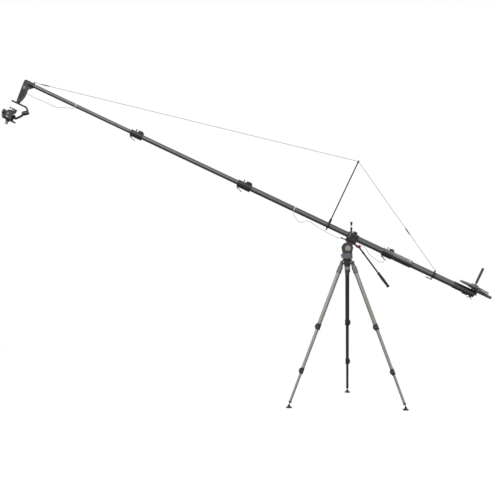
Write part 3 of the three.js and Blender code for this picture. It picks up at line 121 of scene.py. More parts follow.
class Shader:
    """A tree of shader nodes. Each gets its settings first, then its sockets' values and links."""

    def __init__(self, tree):
        self.tree = tree

    def node(self, kind, values=None, **settings):
        made = self.tree.nodes.new(kind)
        for setting, value in settings.items():
            setattr(made, setting, value)
        for socket, value in (values or {}).items():
            self.fill(made.inputs[socket], value)
        return made

    def fill(self, target, value):
        """Sets a plain value, or links a reading, a socket or a node's first output."""
        if isinstance(value, bpy.types.Node):
            value = value.outputs[0]
        value = getattr(value, "socket", value)
        if isinstance(value, bpy.types.NodeSocket):
            self.tree.links.new(value, target)
        else:
            target.default_value = value


class Finish(Shader):
    """A finish on one kind of surface: its colour, gloss and grain, and its slot in the record."""

    def __init__(self, name, slot=None, roughness=0.5, metallic=0.0, coat=0.0):
        self.slot = slot
        self.material = bpy.data.materials.new(name)
        self.material.use_nodes = True
        super().__init__(self.material.node_tree)
        self.surface = self.tree.nodes["Principled BSDF"]
        for socket, value in (("Roughness", roughness), ("Metallic", metallic), ("Coat Weight", coat)):
            self.surface.inputs[socket].default_value = value
        placing = self.node("ShaderNodeTexCoord")
        self.place, self.facing = placing.outputs["Object"], placing.outputs["Normal"]

    def noise(self, scale, detail=3.0, place=None):
        values = {"Vector": place or self.place, "Scale": scale, "Detail": detail}
        return Reading(self, self.node("ShaderNodeTexNoise", values).outputs["Fac"])

    def ramp(self, reading, low, high):
        values = {"Value": reading, "From Min": low, "From Max": high}
        return Reading(self, self.node("ShaderNodeMapRange", values, clamp=True).outputs["Result"])

    def upward(self, low, high):
        """Runs from 0 to 1 as the surface turns up. It places painted light and shade by which way the
        surface faces, and tells a top face from its edge.
        """
        return self.ramp(self.node("ShaderNodeSeparateXYZ", {0: self.facing}).outputs["Z"], low, high)

    def turned_place(self, turn, stretch, centre=(0, 0, 0)):
        values = {"Vector": self.place, "Location": centre, "Rotation": turn, "Scale": stretch}
        return self.node("ShaderNodeMapping", values, vector_type="TEXTURE").outputs["Vector"]

    def mix(self, first, second, reading):
        shades = [(*shade, 1.0) if isinstance(shade, tuple) else shade for shade in (first, second)]
        values = {0: reading, 6: shades[0], 7: shades[1]}
        return self.node("ShaderNodeMix", values, data_type="RGBA").outputs[2]

    def wear(self, colour, roughness=None, height=None, depth=0.0002):
        self.fill(self.surface.inputs["Base Color"], colour)
        if roughness is not None:
            self.fill(self.surface.inputs["Roughness"], roughness)
        if height is not None:
            bump = self.node("ShaderNodeBump", {"Height": height, "Distance": depth})
            self.fill(self.surface.inputs["Normal"], bump)
        return self


world = bpy.data.worlds.new("studio")
scene.world = world
world.use_nodes = True
world.node_tree.nodes.clear()
sky = Shader(world.node_tree)
ray = sky.node("ShaderNodeLightPath").outputs
sky_seen = Reading(sky, ray["Is Camera Ray"]).or_higher(ray["Is Transmission Ray"])
sky_seen = sky_seen.or_higher(ray["Is Glossy Ray"])
sky_axes = sky.node("ShaderNodeSeparateXYZ", {0: sky.node("ShaderNodeTexCoord").outputs["Generated"]})
sky_glow = sky.node(
    "ShaderNodeMapRange", {"Value": sky_axes.outputs["Z"], "To Min": SKY_HORIZON, "To Max": SKY_ZENITH})
sky_light = sky.node("ShaderNodeBackground", {"Color": WHITE, "Strength": sky_glow})
sky_shown = sky.node("ShaderNodeBackground", {"Color": WHITE})
sky_mix = sky.node("ShaderNodeMixShader", {0: sky_seen, 1: sky_light, 2: sky_shown})
sky.node("ShaderNodeOutputWorld", {"Surface": sky_mix})

paper = Finish("floor_paper", roughness=0.9)
paper_seen = Reading(paper, paper.node("ShaderNodeLightPath").outputs["Is Camera Ray"])
paper.wear(paper.mix(FLOOR_BOUNCE, FLOOR_COLOUR, paper_seen))
paper_distance = paper.node("ShaderNodeVectorMath", {0: paper.place}, operation="LENGTH").outputs["Value"]
paper_fade = paper.node("ShaderNodeMapRange", {
    "Value": paper_distance, "From Min": FLOOR_FADE_START, "From Max": FLOOR_FADE_END,
    "To Min": FLOOR_WHITENESS})
paper_white = paper.node("ShaderNodeEmission", {"Color": WHITE})
paper_mix = paper.node("ShaderNodeMixShader", {0: paper_seen * paper_fade, 1: paper.surface, 2: paper_white})
paper.fill(paper.tree.nodes["Material Output"].inputs["Surface"], paper_mix)

floor_sheet = bmesh.new()
bmesh.ops.create_grid(floor_sheet, x_segments=1, y_segments=1, size=FLOOR_REACH)
bmesh.ops.translate(floor_sheet, verts=floor_sheet.verts, vec=(0, 0, -FLOOR_BELOW))
floor_mesh = bpy.data.meshes.new("studio_floor")
floor_sheet.to_mesh(floor_mesh)
floor_sheet.free()
floor_mesh.materials.append(paper.material)
studio_floor = bpy.data.objects.new("studio_floor", floor_mesh)
scene.collection.objects.link(studio_floor)

# Control wires
# Two thin black wires run between the boom's locks and the camera end, clipped at both ends and
# sagging between. They are one length of wire each, with the routes that the solids have.
MILLIMETRES = Matrix.Scale(0.001, 4)
REARWARDS = Vector(JOINTS["plate_slide"]["axis"])
BOOM_PITCH = atan2(-REARWARDS.z, REARWARDS.x)
BOOM_ABOVE_TILT = 132
STAND = Matrix.Translation(PAN_AXIS) @ MILLIMETRES
HEAD = Matrix.Translation(TILT_POINT) @ MILLIMETRES
TILTED = HEAD @ Matrix.Rotation(BOOM_PITCH, 4, "Y")
BOOM = TILTED @ Matrix.Translation((0, 0, BOOM_ABOVE_TILT))

WIRE_DIAMETER = 0.0035
WIRE_STEP = 6.0
FRONT_WIRE_ROUTE = [
    (-3743.3, 0, -98), (-3730, 0, -100.5), (-3700, 0, -106), (-3660, 0, -107), (-3600, 0, -105),
    (-3540, 0, -103.5), (-3473, 0, -103), (-3430, 0, -103), (-3400, 0, -101), (-3360, 0, -86),
    (-3320, 0, -68), (-3280, 0, -53), (-3245, 0, -41), (-3223, 0, -31), (-3217, 0, -21.8),
]
BOOM_WIRE_ROUTE = [
    (-680, 0, -29.6), (-674, 0, -42), (-650, 0, -62), (-610, 4, -88), (-575, 6, -100),
    (-552, 5, -94), (-530, 3, -72), (-505, 0, -54), (-470, 0, -50), (-413, 0, -60),
    (-360, 6, -66), (-311, 14, -70), (-244, 26, -74), (-190, 40, -76), (-140, 50, -74),
    (-80, 55, -62), (-20, 56, -48), (40, 54, -40), (90, 46, -36), (128, 37, -37),
    (166, 28, -43), (200, 19, -64), (234, 14, -88), (287, 8, -104), (330, 8, -113), (355, 9, -117),
    (380, 13, -116), (400, 16, -108), (409, 17, -93), (405, 17, -78), (392, 16, -66),
    (386, 15, -52), (385, 14, -38.7),
]


def smooth_route(points, step):
    """Points close together on a centripetal Catmull-Rom curve through the route's points."""
    route = [Vector(point) for point in points]
    route = [2 * route[0] - route[1]] + route + [2 * route[-1] - route[-2]]
    made = []
    for first, a, b, last in zip(route, route[1:], route[2:], route[3:]):
        knots = [0.0]
        for start, end in ((first, a), (a, b), (b, last)):
            knots.append(knots[-1] + (end - start).length ** 0.5)
        count = max(2, ceil((b - a).length / step))
        for i in range(count):
            t = knots[1] + (knots[2] - knots[1]) * i / count
            corners = [first, a, b, last]
            for level in (1, 2, 3):
                joined = []
                for k in range(4 - level):
                    low, high = (1, 2) if level == 3 else (k, k + level)
                    share = (t - knots[low]) / (knots[high] - knots[low])
                    joined.append(corners[k].lerp(corners[k + 1], share))
                corners = joined
            made.append(corners[0])
    return made + [route[-2]]


wire_sheath = Finish("wire_sheath", "black_plastic", roughness=0.45)
sheath_marks = wire_sheath.noise(260)
wire_sheath.wear(
    wire_sheath.mix((0.012, 0.012, 0.012), (0.05, 0.05, 0.048), sheath_marks),
    roughness=sheath_marks * 0.3 + 0.35, height=wire_sheath.noise(2400), depth=0.0001)

for name, body, route in (
    ("front_wire", "boom_front", FRONT_WIRE_ROUTE), ("boom_wire", "boom", BOOM_WIRE_ROUTE),
):
    line = [BOOM @ point for point in smooth_route(route, WIRE_STEP)]
    curve = bpy.data.curves.new(name, "CURVE")
    curve.dimensions = "3D"
    curve.bevel_depth = WIRE_DIAMETER / 2
    curve.bevel_resolution = 3
    curve.use_fill_caps = True
    spline = curve.splines.new("POLY")
    spline.points.add(len(line) - 1)
    for point, place in zip(spline.points, line):
        point.co = (*place, 1.0)
    curve.materials.append(wire_sheath.material)
    wire = bpy.data.objects.new(f"{name}_cord", curve)
    scene.collection.objects.link(wire)
    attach(wire, body)
    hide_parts(name)
    sum((b - a).length for a, b in zip(line, line[1:]))

# Boom tubes
# Thin-walled tubes of dark composite that slide in one another. Each has a smooth, slightly
# streaked skin along its length, a clean cut end, and a pale ring where a lock has rubbed.
TUBE_WALL = 2.2
TUBE_CHAMFER = 0.8
BOOM_TUBES = {
    "front_tube": (20.5, -3763, -2379, "boom_front"),
    "middle_tube": (24.5, -2554.7, -1136, "boom_middle"),
    "main_front_tube": (28.5, -1311.7, -10, "boom"),
    "main_rear_tube": (32.5, -9.7, 571, "boom"),
}
BAND_WIDTH = 9
BAND_DEPTH, BAND_STAND = 0.5, 0.35
BANDS = (("front_band", "boom_front", 20.5, -3217), ("main_band", "boom", 28.5, -680))
STREAK_STRETCH = (0.35, 0.004, 0.004)
FINE_STRETCH = (0.09, 0.0012, 0.0012)
BOOM_TURN = (0, BOOM_PITCH, 0)
UNTURNED = Matrix.Identity(4)
ALONG = {
    "x": Matrix.Rotation(pi / 2, 4, "Y"),
    "y": Matrix.Rotation(-pi / 2, 4, "X"),
    "z": UNTURNED,
}


class Form:
    """A closed shell in millimetres: its corners, and its faces as rows of corner numbers."""

    def __init__(self, corners, faces):
        self.corners = [Vector(corner) for corner in corners]
        self.faces = faces

    def at(self, place):
        return Form([place @ corner for corner in self.corners], self.faces)


def polar(radius, angle, centre=(0, 0)):
    return centre[0] + radius * cos(radians(angle)), centre[1] + radius * sin(radians(angle))


def arc(radius, start, end, steps, centre=(0, 0)):
    """Points on an arc between two angles in degrees, with both its ends."""
    return [polar(radius, start + (end - start) * i / steps, centre) for i in range(steps + 1)]


def barrel(radius, start, end, trim, grooves=(), last=None):
    """The outside of a turned part. A groove is its start, end and depth, and its sides' slope."""
    last = trim if last is None else last
    profile = [(radius - trim, start), (radius, start + trim)]
    for low, high, depth, slope in grooves:
        profile += [
            (radius, low), (radius - depth, low + slope), (radius - depth, high - slope), (radius, high)]
    return profile + [(radius, end - last), (radius - last, end)]


def turned(profile, axis="z", sides=56, centre=(0, 0, 0)):
    """A turned form. The profile goes up the outside and down the inside, as (radius, height)."""
    corners, rings = [], []
    for radius, height in profile:
        count = sides if radius > 0 else 1
        rings.append(list(range(len(corners), len(corners) + count)))
        corners += [(*point, height) for point in arc(radius, 0, 360, sides)[:count]]
    pairs = list(zip(rings, rings[1:]))
    if profile[0][0] > 0 or profile[-1][0] > 0:
        pairs.append((rings[-1], rings[0]))
    faces = []
    for low, high in pairs:
        for i in range(sides):
            k = i + 1
            around = (low[i % len(low)], low[k % len(low)], high[k % len(high)], high[i % len(high)])
            face = list(dict.fromkeys(around))
            if len(face) > 2:
                faces.append(face)
    return Form(corners, faces).at(Matrix.Translation(centre) @ ALONG[axis])


def bar(radius, start, end, axis="z", centre=(0, 0, 0), chamfer=0.6, sides=40):
    trim = min(chamfer, radius / 2, (end - start) / 3)
    return turned([(0, start), *barrel(radius, start, end, trim), (0, end)], axis, sides, centre)


def pipe(outside, inside, start, end, axis="z", centre=(0, 0, 0), chamfer=0.6, sides=56):
    trim = min(chamfer, (outside - inside) / 3, (end - start) / 3)
    return turned([(inside, start), *barrel(outside, start, end, trim), (inside, end)], axis, sides, centre)


def made_object(name, mesh, soft_angle):
    mesh.shade_smooth()
    mesh.set_sharp_from_angle(angle=radians(soft_angle))
    made = bpy.data.objects.new(name, mesh)
    scene.collection.objects.link(made)
    return made


def joined(name, finish, place, forms):
    """One object with one finish, made of forms that share a place."""
    corners, faces = [], []
    for form in forms:
        faces += [[len(corners) + number for number in face] for face in form.faces]
        corners += form.at(place).corners
    mesh = bpy.data.meshes.new(name)
    mesh.from_pydata(corners, [], faces)
    mesh.materials.append(finish.material)
    return made_object(name, mesh, 38)


def piece(name, body, finish, place, forms, *replaced):
    """A joined piece that rides on a body of the frame, and may stand for its solids."""
    made = joined(name, finish, place, forms)
    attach(made, body)
    if replaced:
        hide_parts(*replaced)


def tube_skin(name, slot, dark, light, under, lit, crest, roughness):
    """A tube's skin, with fine streaks along the tube and dull rubbed patches, painted with shade underneath
    and, by crest, along the top, so that a painted lit band runs between.
    """
    skin = Finish(name, slot, roughness, metallic=0.1, coat=0.1)
    streaks = skin.noise(1.0, 4.0, skin.turned_place(BOOM_TURN, STREAK_STRETCH))
    fine = skin.noise(1.0, 2.0, skin.turned_place(BOOM_TURN, FINE_STRETCH))
    patches = skin.ramp(skin.noise(5.0, 2.0), 0.48, 0.75)
    dusty = tuple(0.6 * part + 0.1 for part in light)
    colour = skin.mix(dark, light, skin.ramp(streaks * 0.6 + fine * 0.4, 0.3, 0.7))
    colour = skin.mix(colour, dusty, patches * 0.12)
    # Painted shade: the top darkens towards under by crest, and below the lit span the side turns to under.
    colour = skin.mix(colour, under, skin.upward(0.0, 0.6) * crest)
    colour = skin.mix(under, colour, skin.upward(*lit))
    gloss = streaks * 0.16 + patches * 0.12 + (roughness - 0.1)
    return skin.wear(colour, roughness=gloss, height=fine * 0.7 + streaks * 0.3, depth=0.00012)


# The boom tubes, the rear tube and the coupler sleeve all carry painted shade underneath and along the top,
# with a painted lit band between.
boom_skin = tube_skin(
    "boom_skin", "carbon", dark=(0.11, 0.11, 0.105), light=(0.2, 0.198, 0.188),
    under=(0.02, 0.02, 0.018), lit=(-0.5, -0.1), crest=0.85, roughness=0.4)
rear_skin = tube_skin(
    "rear_skin", "rear_carbon", dark=(0.13, 0.131, 0.12), light=(0.23, 0.23, 0.21),
    under=(0.016, 0.016, 0.014), lit=(-0.5, -0.05), crest=0.7, roughness=0.44)
sleeve_skin = tube_skin(
    "sleeve_skin", "black_metal", dark=(0.12, 0.12, 0.12), light=(0.3, 0.3, 0.29),
    under=(0.014, 0.014, 0.014), lit=(-0.25, 0.3), crest=0.1, roughness=0.45)

for name, (radius, start, end, body) in BOOM_TUBES.items():
    tube = pipe(radius, radius - TUBE_WALL, start, end, "x", chamfer=TUBE_CHAMFER, sides=72)
    piece(f"{name}_skin", body, boom_skin, BOOM, [tube], name)

band_tape = Finish("band_tape", "white", roughness=0.5)
band_tape.wear(
    band_tape.mix((0.42, 0.42, 0.4), (0.62, 0.61, 0.58), band_tape.noise(90)),
    height=band_tape.noise(900))
for name, body, radius, middle in BANDS:
    tape = pipe(
        radius + BAND_STAND, radius - BAND_DEPTH, middle - BAND_WIDTH / 2, middle + BAND_WIDTH / 2, "x",
        chamfer=0.1, sides=72)
    piece(name, body, band_tape, BOOM, [tape])

# Boom locks
# Cast aluminium clamps on the tubes' ends, anodised black. Each has a collar with pinch screws,
# a foot bar below, a wedge-shaped block and a knob above, and a lever hung in two ears.
LOCKS = {
    "front": (-2579, 134, 24.5, 20.5, "boom_middle"),
    "middle": (-1336, 151, 28.5, 24.5, "boom"),
    "rear": (347, 116, 32.5, None, "boom"),
}
SLIDE_FIT = 0.3
LOCK_WALL = 8
LOCK_LIP = 24
LOCK_RIM = 10
LOCK_BAR_HALF_WIDTH = 10
LOCK_BAR_HEIGHT = 7
LOCK_BLOCK_SHARE = 0.46
LOCK_BLOCK_TOP_SHARE = 0.7
LOCK_BLOCK_HEIGHT = 22
LOCK_BLOCK_HALF_WIDTH = 15
LOCK_KNOB_RADIUS = 8
LOCK_KNOB_HEIGHT = 13
LOCK_KNOB_SHARE = 0.36
LOCK_WINDOW_RADIUS = 5.5
LOCK_EAR = 4
LEVER_DROP = 9
LEVER_INSET = 20
LEVER_LENGTH = 57
LEVER_ANGLE = 20
LEVER_RADIUS = 4.2
LEVER_HUB_RADIUS = 7
LEVER_HUB_HALF_WIDTH = 5.5
LEVER_PIN_RADIUS = 2.8
SHARP_EDGE = 25
SIDEWAYS = (pi / 2, 0, 0)
UPRIGHT = (0, 0, 0)


def rounded(shape, radius, steps=2):
    """Rounds a bmesh's sharp edges, and gives it as a form. The bmesh is freed."""
    if radius > 0:
        edges = [edge for edge in shape.edges if edge.calc_face_angle(0.0) > radians(SHARP_EDGE)]
        bmesh.ops.bevel(
            shape, geom=edges, offset=radius, segments=steps, profile=0.5, affect="EDGES",
            clamp_overlap=True)
    shape.verts.index_update()
    corners = [vertex.co.copy() for vertex in shape.verts]
    faces = [[vertex.index for vertex in face.verts] for face in shape.faces]
    shape.free()
    return Form(corners, faces)


def block(low, high, radius=1.0):
    shape = bmesh.new()
    size, middle = Vector(high) - Vector(low), (Vector(high) + Vector(low)) / 2
    bmesh.ops.create_cube(shape, size=1.0, matrix=Matrix.Translation(middle) @ Matrix.Diagonal((*size, 1.0)))
    return rounded(shape, radius)


def slab(near, far, radius=1.0, steps=2):
    """A solid between two like outlines. The first is counterclockwise as seen from outside."""
    shape = bmesh.new()
    near = [shape.verts.new(corner) for corner in near]
    far = [shape.verts.new(corner) for corner in far]
    shape.faces.new(near)
    shape.faces.new(far[::-1])
    for i, a in enumerate(near):
        shape.faces.new((a, near[i - 1], far[i - 1], far[i]))
    return rounded(shape, radius, steps)


def side_plate(outline, near, far, radius=1.0):
    """A plate whose outline is drawn in X and Z, counterclockwise as the photograph sees it."""
    return slab([(x, near, z) for x, z in outline], [(x, far, z) for x, z in outline], radius)


def ball(radius, centre):
    return turned([(0, -radius), *arc(radius, -90, 90, 14)[1:-1], (0, radius)], "z", 28, centre)


def metal_skin(name, slot, dark, light, roughness, metallic, grain=1100, depth=0.00012):
    """Painted or anodised metal, a little mottled and dusty, with a fine grain."""
    skin = Finish(name, slot, roughness, metallic)
    mottle = skin.noise(38, 4.0)
    dust = skin.ramp(skin.noise(11, 3.0), 0.5, 0.8)
    scratched = skin.turned_place((0.4, 0.7, 0.2), (0.05, 0.003, 0.02))
    scuffs = skin.ramp(skin.noise(1.0, 5.0, scratched), 0.62, 0.7)
    scuffed = tuple(min(1.0, 2.2 * part + 0.03) for part in light)
    colour = skin.mix(skin.mix(dark, light, mottle), scuffed, scuffs * 0.35)
    gloss = mottle * 0.2 + dust * 0.15 + (roughness - 0.12)
    return skin.wear(colour, roughness=gloss, height=skin.noise(grain, 2.0) + scuffs * -0.3, depth=depth)


black_casting = metal_skin(
    "black_casting", "black_metal", (0.01, 0.01, 0.0105), (0.032, 0.032, 0.033), 0.46, 0.25)
bright_steel = metal_skin(
    "bright_steel", "chrome", (0.42, 0.42, 0.43), (0.66, 0.66, 0.67), 0.28, 1.0, grain=2400, depth=0.00005)
dark_steel = metal_skin(
    "dark_steel", "black_metal", (0.035, 0.035, 0.036), (0.08, 0.08, 0.082), 0.4, 0.6, grain=2400,
    depth=0.00005)
grey_satin = metal_skin(
    "grey_satin", "cast_metal", (0.12, 0.12, 0.118), (0.21, 0.21, 0.205), 0.45, 0.3, grain=1600)


def grown_tree(name, inputs, nodes, links):
    """A Geometry Nodes tree. A link's ends are a node's title and its socket, and given and out
    are the tree's own."""
    tree = bpy.data.node_groups.new(name, "GeometryNodeTree")
    tree.interface.new_socket("Geometry", in_out="OUTPUT", socket_type="NodeSocketGeometry")
    sockets = {
        title: tree.interface.new_socket(title, in_out="INPUT", socket_type=kind).identifier
        for title, kind in inputs.items()}
    made = {"given": tree.nodes.new("NodeGroupInput"), "out": tree.nodes.new("NodeGroupOutput")}
    for title, (kind, settings) in nodes.items():
        made[title] = tree.nodes.new(kind)
        for setting, value in settings.items():
            setattr(made[title], setting, value)
    for giver, output, taker, socket in links:
        tree.links.new(made[giver].outputs[output], made[taker].inputs[socket])
    return tree, sockets


def grown_piece(name, body, finish, place, tree_and_sockets, values):
    """Runs a Geometry Nodes tree once, and keeps its result as a piece with a plain mesh."""
    tree, sockets = tree_and_sockets
    carrier = bpy.data.objects.new(name, bpy.data.meshes.new(f"{name}_seed"))
    scene.collection.objects.link(carrier)
    modifier = carrier.modifiers.new("grow", "NODES")
    modifier.node_group = tree
    for title, value in {**values, "Finish": finish.material}.items():
        modifier[sockets[title]] = value
    mesh = bpy.data.meshes.new_from_object(carrier.evaluated_get(bpy.context.evaluated_depsgraph_get()))
    carrier.modifiers.remove(modifier)
    bpy.data.objects.remove(carrier)
    mesh.transform(place)
    made = made_object(name, mesh, 30)
    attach(made, body)


# One tree sets screws, and anything like them, in a row at even steps.
SPREAD = {
    "spread": ("GeometryNodeInstanceOnPoints", {}),
    "real": ("GeometryNodeRealizeInstances", {}),
    "paint": ("GeometryNodeSetMaterial", {}),
}
SPREAD_LINKS = [
    ("spread", "Instances", "real", "Geometry"), ("real", "Geometry", "paint", "Geometry"),
    ("given", "Finish", "paint", "Material"), ("paint", "Geometry", "out", "Geometry"),
]
SCREW_ROW = grown_tree(
    "row_of_screws",
    {
        "Count": "NodeSocketInt", "Start": "NodeSocketVector", "Step": "NodeSocketVector",
        "Turn": "NodeSocketVector", "Head radius": "NodeSocketFloat", "Head height": "NodeSocketFloat",
        "Sides": "NodeSocketInt", "Finish": "NodeSocketMaterial",
    },
    {"line": ("GeometryNodeMeshLine", {}), "screw": ("GeometryNodeMeshCylinder", {}), **SPREAD},
    [
        ("given", "Count", "line", "Count"), ("given", "Start", "line", "Start Location"),
        ("given", "Step", "line", "Offset"), ("given", "Sides", "screw", "Vertices"),
        ("given", "Head radius", "screw", "Radius"), ("given", "Head height", "screw", "Depth"),
        ("line", "Mesh", "spread", "Points"), ("screw", "Mesh", "spread", "Instance"),
        ("given", "Turn", "spread", "Rotation"), *SPREAD_LINKS,
    ])


def screws(name, body, place, count, start, step, radius=2.6, height=2.4, sides=12, turn=SIDEWAYS,
           finish=dark_steel):
    grown_piece(name, body, finish, place, SCREW_ROW, {
        "Count": count, "Start": start, "Step": step, "Turn": turn, "Head radius": radius,
        "Head height": height, "Sides": sides})


def lock_collar(start, end, radius, sliding):
    """The collar's turned body, with raised rims and, where a tube slides, a lip at its front."""
    bore = radius + SLIDE_FIT
    profile = [(bore, start)]
    if sliding:
        lip = start + LOCK_LIP
        profile = [(bore, lip), (sliding + SLIDE_FIT, lip), (sliding + SLIDE_FIT, start)]
    waist = [(start + LOCK_RIM, end - LOCK_RIM, 2, 2)]
    return turned([*profile, *barrel(radius + LOCK_WALL, start, end, 1.5, waist), (bore, end)], "x", 64)


def boom_lock(name, start, length, radius, sliding, body, finish):
    outside, end = radius + LOCK_WALL, start + length
    foot, top = -outside - LOCK_BAR_HEIGHT, outside + LOCK_BLOCK_HEIGHT
    block_start = end - length * LOCK_BLOCK_SHARE
    wedge = [
        (block_start, outside - 3), (end, outside - 3), (end, outside + LOCK_BLOCK_HEIGHT / 4),
        (block_start + (end - block_start) * LOCK_BLOCK_TOP_SHARE, top),
        (block_start, top - LOCK_BLOCK_HEIGHT / 4),
    ]
    knob_at, knob_top = start + length * LOCK_KNOB_SHARE, outside + LOCK_KNOB_HEIGHT
    hub = (start + LEVER_INSET, 0, foot - LEVER_DROP)
    forms = [
        lock_collar(start, end, radius, sliding),
        block((start, -LOCK_BAR_HALF_WIDTH, foot), (end, LOCK_BAR_HALF_WIDTH, -outside + 3), 1.5),
        side_plate(wedge, -LOCK_BLOCK_HALF_WIDTH, LOCK_BLOCK_HALF_WIDTH, 2.0),
        bar(LOCK_KNOB_RADIUS / 2, outside - 2, knob_top, "z", (knob_at, 0, 0)),
        ball(LOCK_KNOB_RADIUS, (knob_at, 0, knob_top)),
    ]
    ear_near = LEVER_HUB_HALF_WIDTH + SLIDE_FIT
    ear_far = ear_near + LOCK_EAR
    for low, high in ((-ear_far, -ear_near), (ear_near, ear_far)):
        forms.append(bar(LEVER_HUB_RADIUS, low, high, "y", hub))
        forms.append(block(
            (hub[0] - LEVER_HUB_RADIUS, low, hub[2]), (hub[0] + LEVER_HUB_RADIUS, high, foot + 2), 0.6))
    piece(f"lock_{name}_casting", body, finish, BOOM, forms, f"boom_lock_{name}")
    piece(f"lock_{name}_pins", body, bright_steel, BOOM, [
        bar(LEVER_PIN_RADIUS, -ear_far - 1.2, ear_far + 1.2, "y", hub),
        bar(LOCK_WINDOW_RADIUS, outside - 1, outside + 3, "z", (knob_at + 22, 0, 0)),
    ])
    screws(f"lock_{name}_screws", body, BOOM, 3,
           (start + length * 0.3, -LOCK_BAR_HALF_WIDTH - 0.2, foot + 3.5), (length * 0.28, 0, 0))
    screws(f"lock_{name}_block_screws", body, BOOM, 2,
           (block_start + 12, -LOCK_BLOCK_HALF_WIDTH - 0.4, outside + 8), (28, 0, 0), 3.2)

    lever_bore, lever_hub = LEVER_PIN_RADIUS + SLIDE_FIT, LEVER_HUB_RADIUS - SLIDE_FIT
    piece(
        f"lock_{name}_lever", f"boom_lever_{name}", black_casting,
        BOOM @ Matrix.Translation(hub) @ Matrix.Rotation(radians(LEVER_ANGLE), 4, "Y"), [
            turned([(lever_bore, -LEVER_HUB_HALF_WIDTH), (lever_hub, -LEVER_HUB_HALF_WIDTH),
                    (lever_hub, LEVER_HUB_HALF_WIDTH), (lever_bore, LEVER_HUB_HALF_WIDTH)], "y", 32),
            turned([(LEVER_RADIUS * 0.7, 5), (LEVER_RADIUS * 0.8, LEVER_LENGTH * 0.4),
                    (LEVER_RADIUS, LEVER_LENGTH * 0.85), (LEVER_RADIUS, LEVER_LENGTH),
                    (LEVER_RADIUS * 0.7, LEVER_LENGTH + 3), (0, LEVER_LENGTH + LEVER_RADIUS),
                    (0, 5)], "x", 24),
        ], f"boom_lever_{name}")


# The rear lock is painted near black underneath and lighter grey on top, as painted shade and painted light
# that follow which way each face turns.
lock_grey = Finish("lock_grey", "black_metal", metallic=0.3)
lock_grain = lock_grey.noise(900, 3)
lock_grey.wear(
    lock_grey.mix((0.02, 0.02, 0.02), (0.19, 0.19, 0.18), lock_grey.upward(-0.2, 0.7)),
    roughness=lock_grain * 0.2 + 0.35, height=lock_grain)
for name, sizes in LOCKS.items():
    boom_lock(name, *sizes, lock_grey if name == "rear" else black_casting)

# Coupler
# A black machined sleeve joins the main tube to the rear tube. A sprung latch button stands
# out of a pocket in its side, and a shallow groove runs round it at each end.
COUPLER_START, COUPLER_END = 463.3, 684
COUPLER_RADIUS = 41
COUPLER_BORE = 32.8
COUPLER_GROOVES = (484, 664)
BUTTON_AT = 649
BUTTON_RADIUS = 9
BUTTON_TURN = 55
BUTTON_STAND = 3.5
BUTTON_DEPTH = 6
BUTTON = BOOM @ Matrix.Translation((BUTTON_AT, 0, 0)) @ Matrix.Rotation(radians(BUTTON_TURN), 4, "X")
coupler = turned([
    (COUPLER_BORE, COUPLER_START),
    *barrel(COUPLER_RADIUS, COUPLER_START, COUPLER_END, 5,
            [(at - 3, at + 3, 1.5, 1) for at in COUPLER_GROOVES]),
    (COUPLER_BORE, COUPLER_END)], "x", 72)
button_ring = pipe(
    BUTTON_RADIUS + 2.5, BUTTON_RADIUS + SLIDE_FIT, COUPLER_RADIUS - 2, COUPLER_RADIUS + 1.2)
piece("coupler_sleeve", "boom", sleeve_skin, UNTURNED, [coupler.at(BOOM), button_ring.at(BUTTON)],
      "tube_coupler")

button_white = Finish("button_white", "white", roughness=0.35, coat=0.3)
button_white.wear(
    button_white.mix((0.66, 0.66, 0.64), (0.8, 0.8, 0.78), button_white.noise(60)),
    height=button_white.noise(1600), depth=0.00005)
button_top = COUPLER_RADIUS + BUTTON_STAND
button = turned(
    [(0, button_top - BUTTON_DEPTH), (BUTTON_RADIUS, button_top - BUTTON_DEPTH),
     (BUTTON_RADIUS, button_top - 1.2), (BUTTON_RADIUS - 0.5, button_top - 0.4),
     (BUTTON_RADIUS - 1.6, button_top), (BUTTON_RADIUS - 3, button_top - 0.5),
     (0, button_top - 0.8)], "z", 40)
piece("latch_button", "coupler_button", button_white, BUTTON, [button], "coupler_button")

# Rear tube
# The rear tube is paler and greenish grey. A black ring clamp carries the rear stay's lug above
# and a wing screw below, whose bar lies along the tube.
REAR_TUBE_RADIUS = 32.2
REAR_TUBE_START, REAR_TUBE_END = 571.3, 1330
BRACKET_AT = 939
BRACKET_HALF_WIDTH = 11
BRACKET_WALL = 5
LUG_HALF = 6
EYE_RADIUS = 6
EYE_HALF_WIDTH = 8
REAR_EYE_HEIGHT = 50
WING_STEM_RADIUS = 3.5
WING_STEM_LENGTH = 14
WING_LENGTH = 62
WING_RADIUS = 6

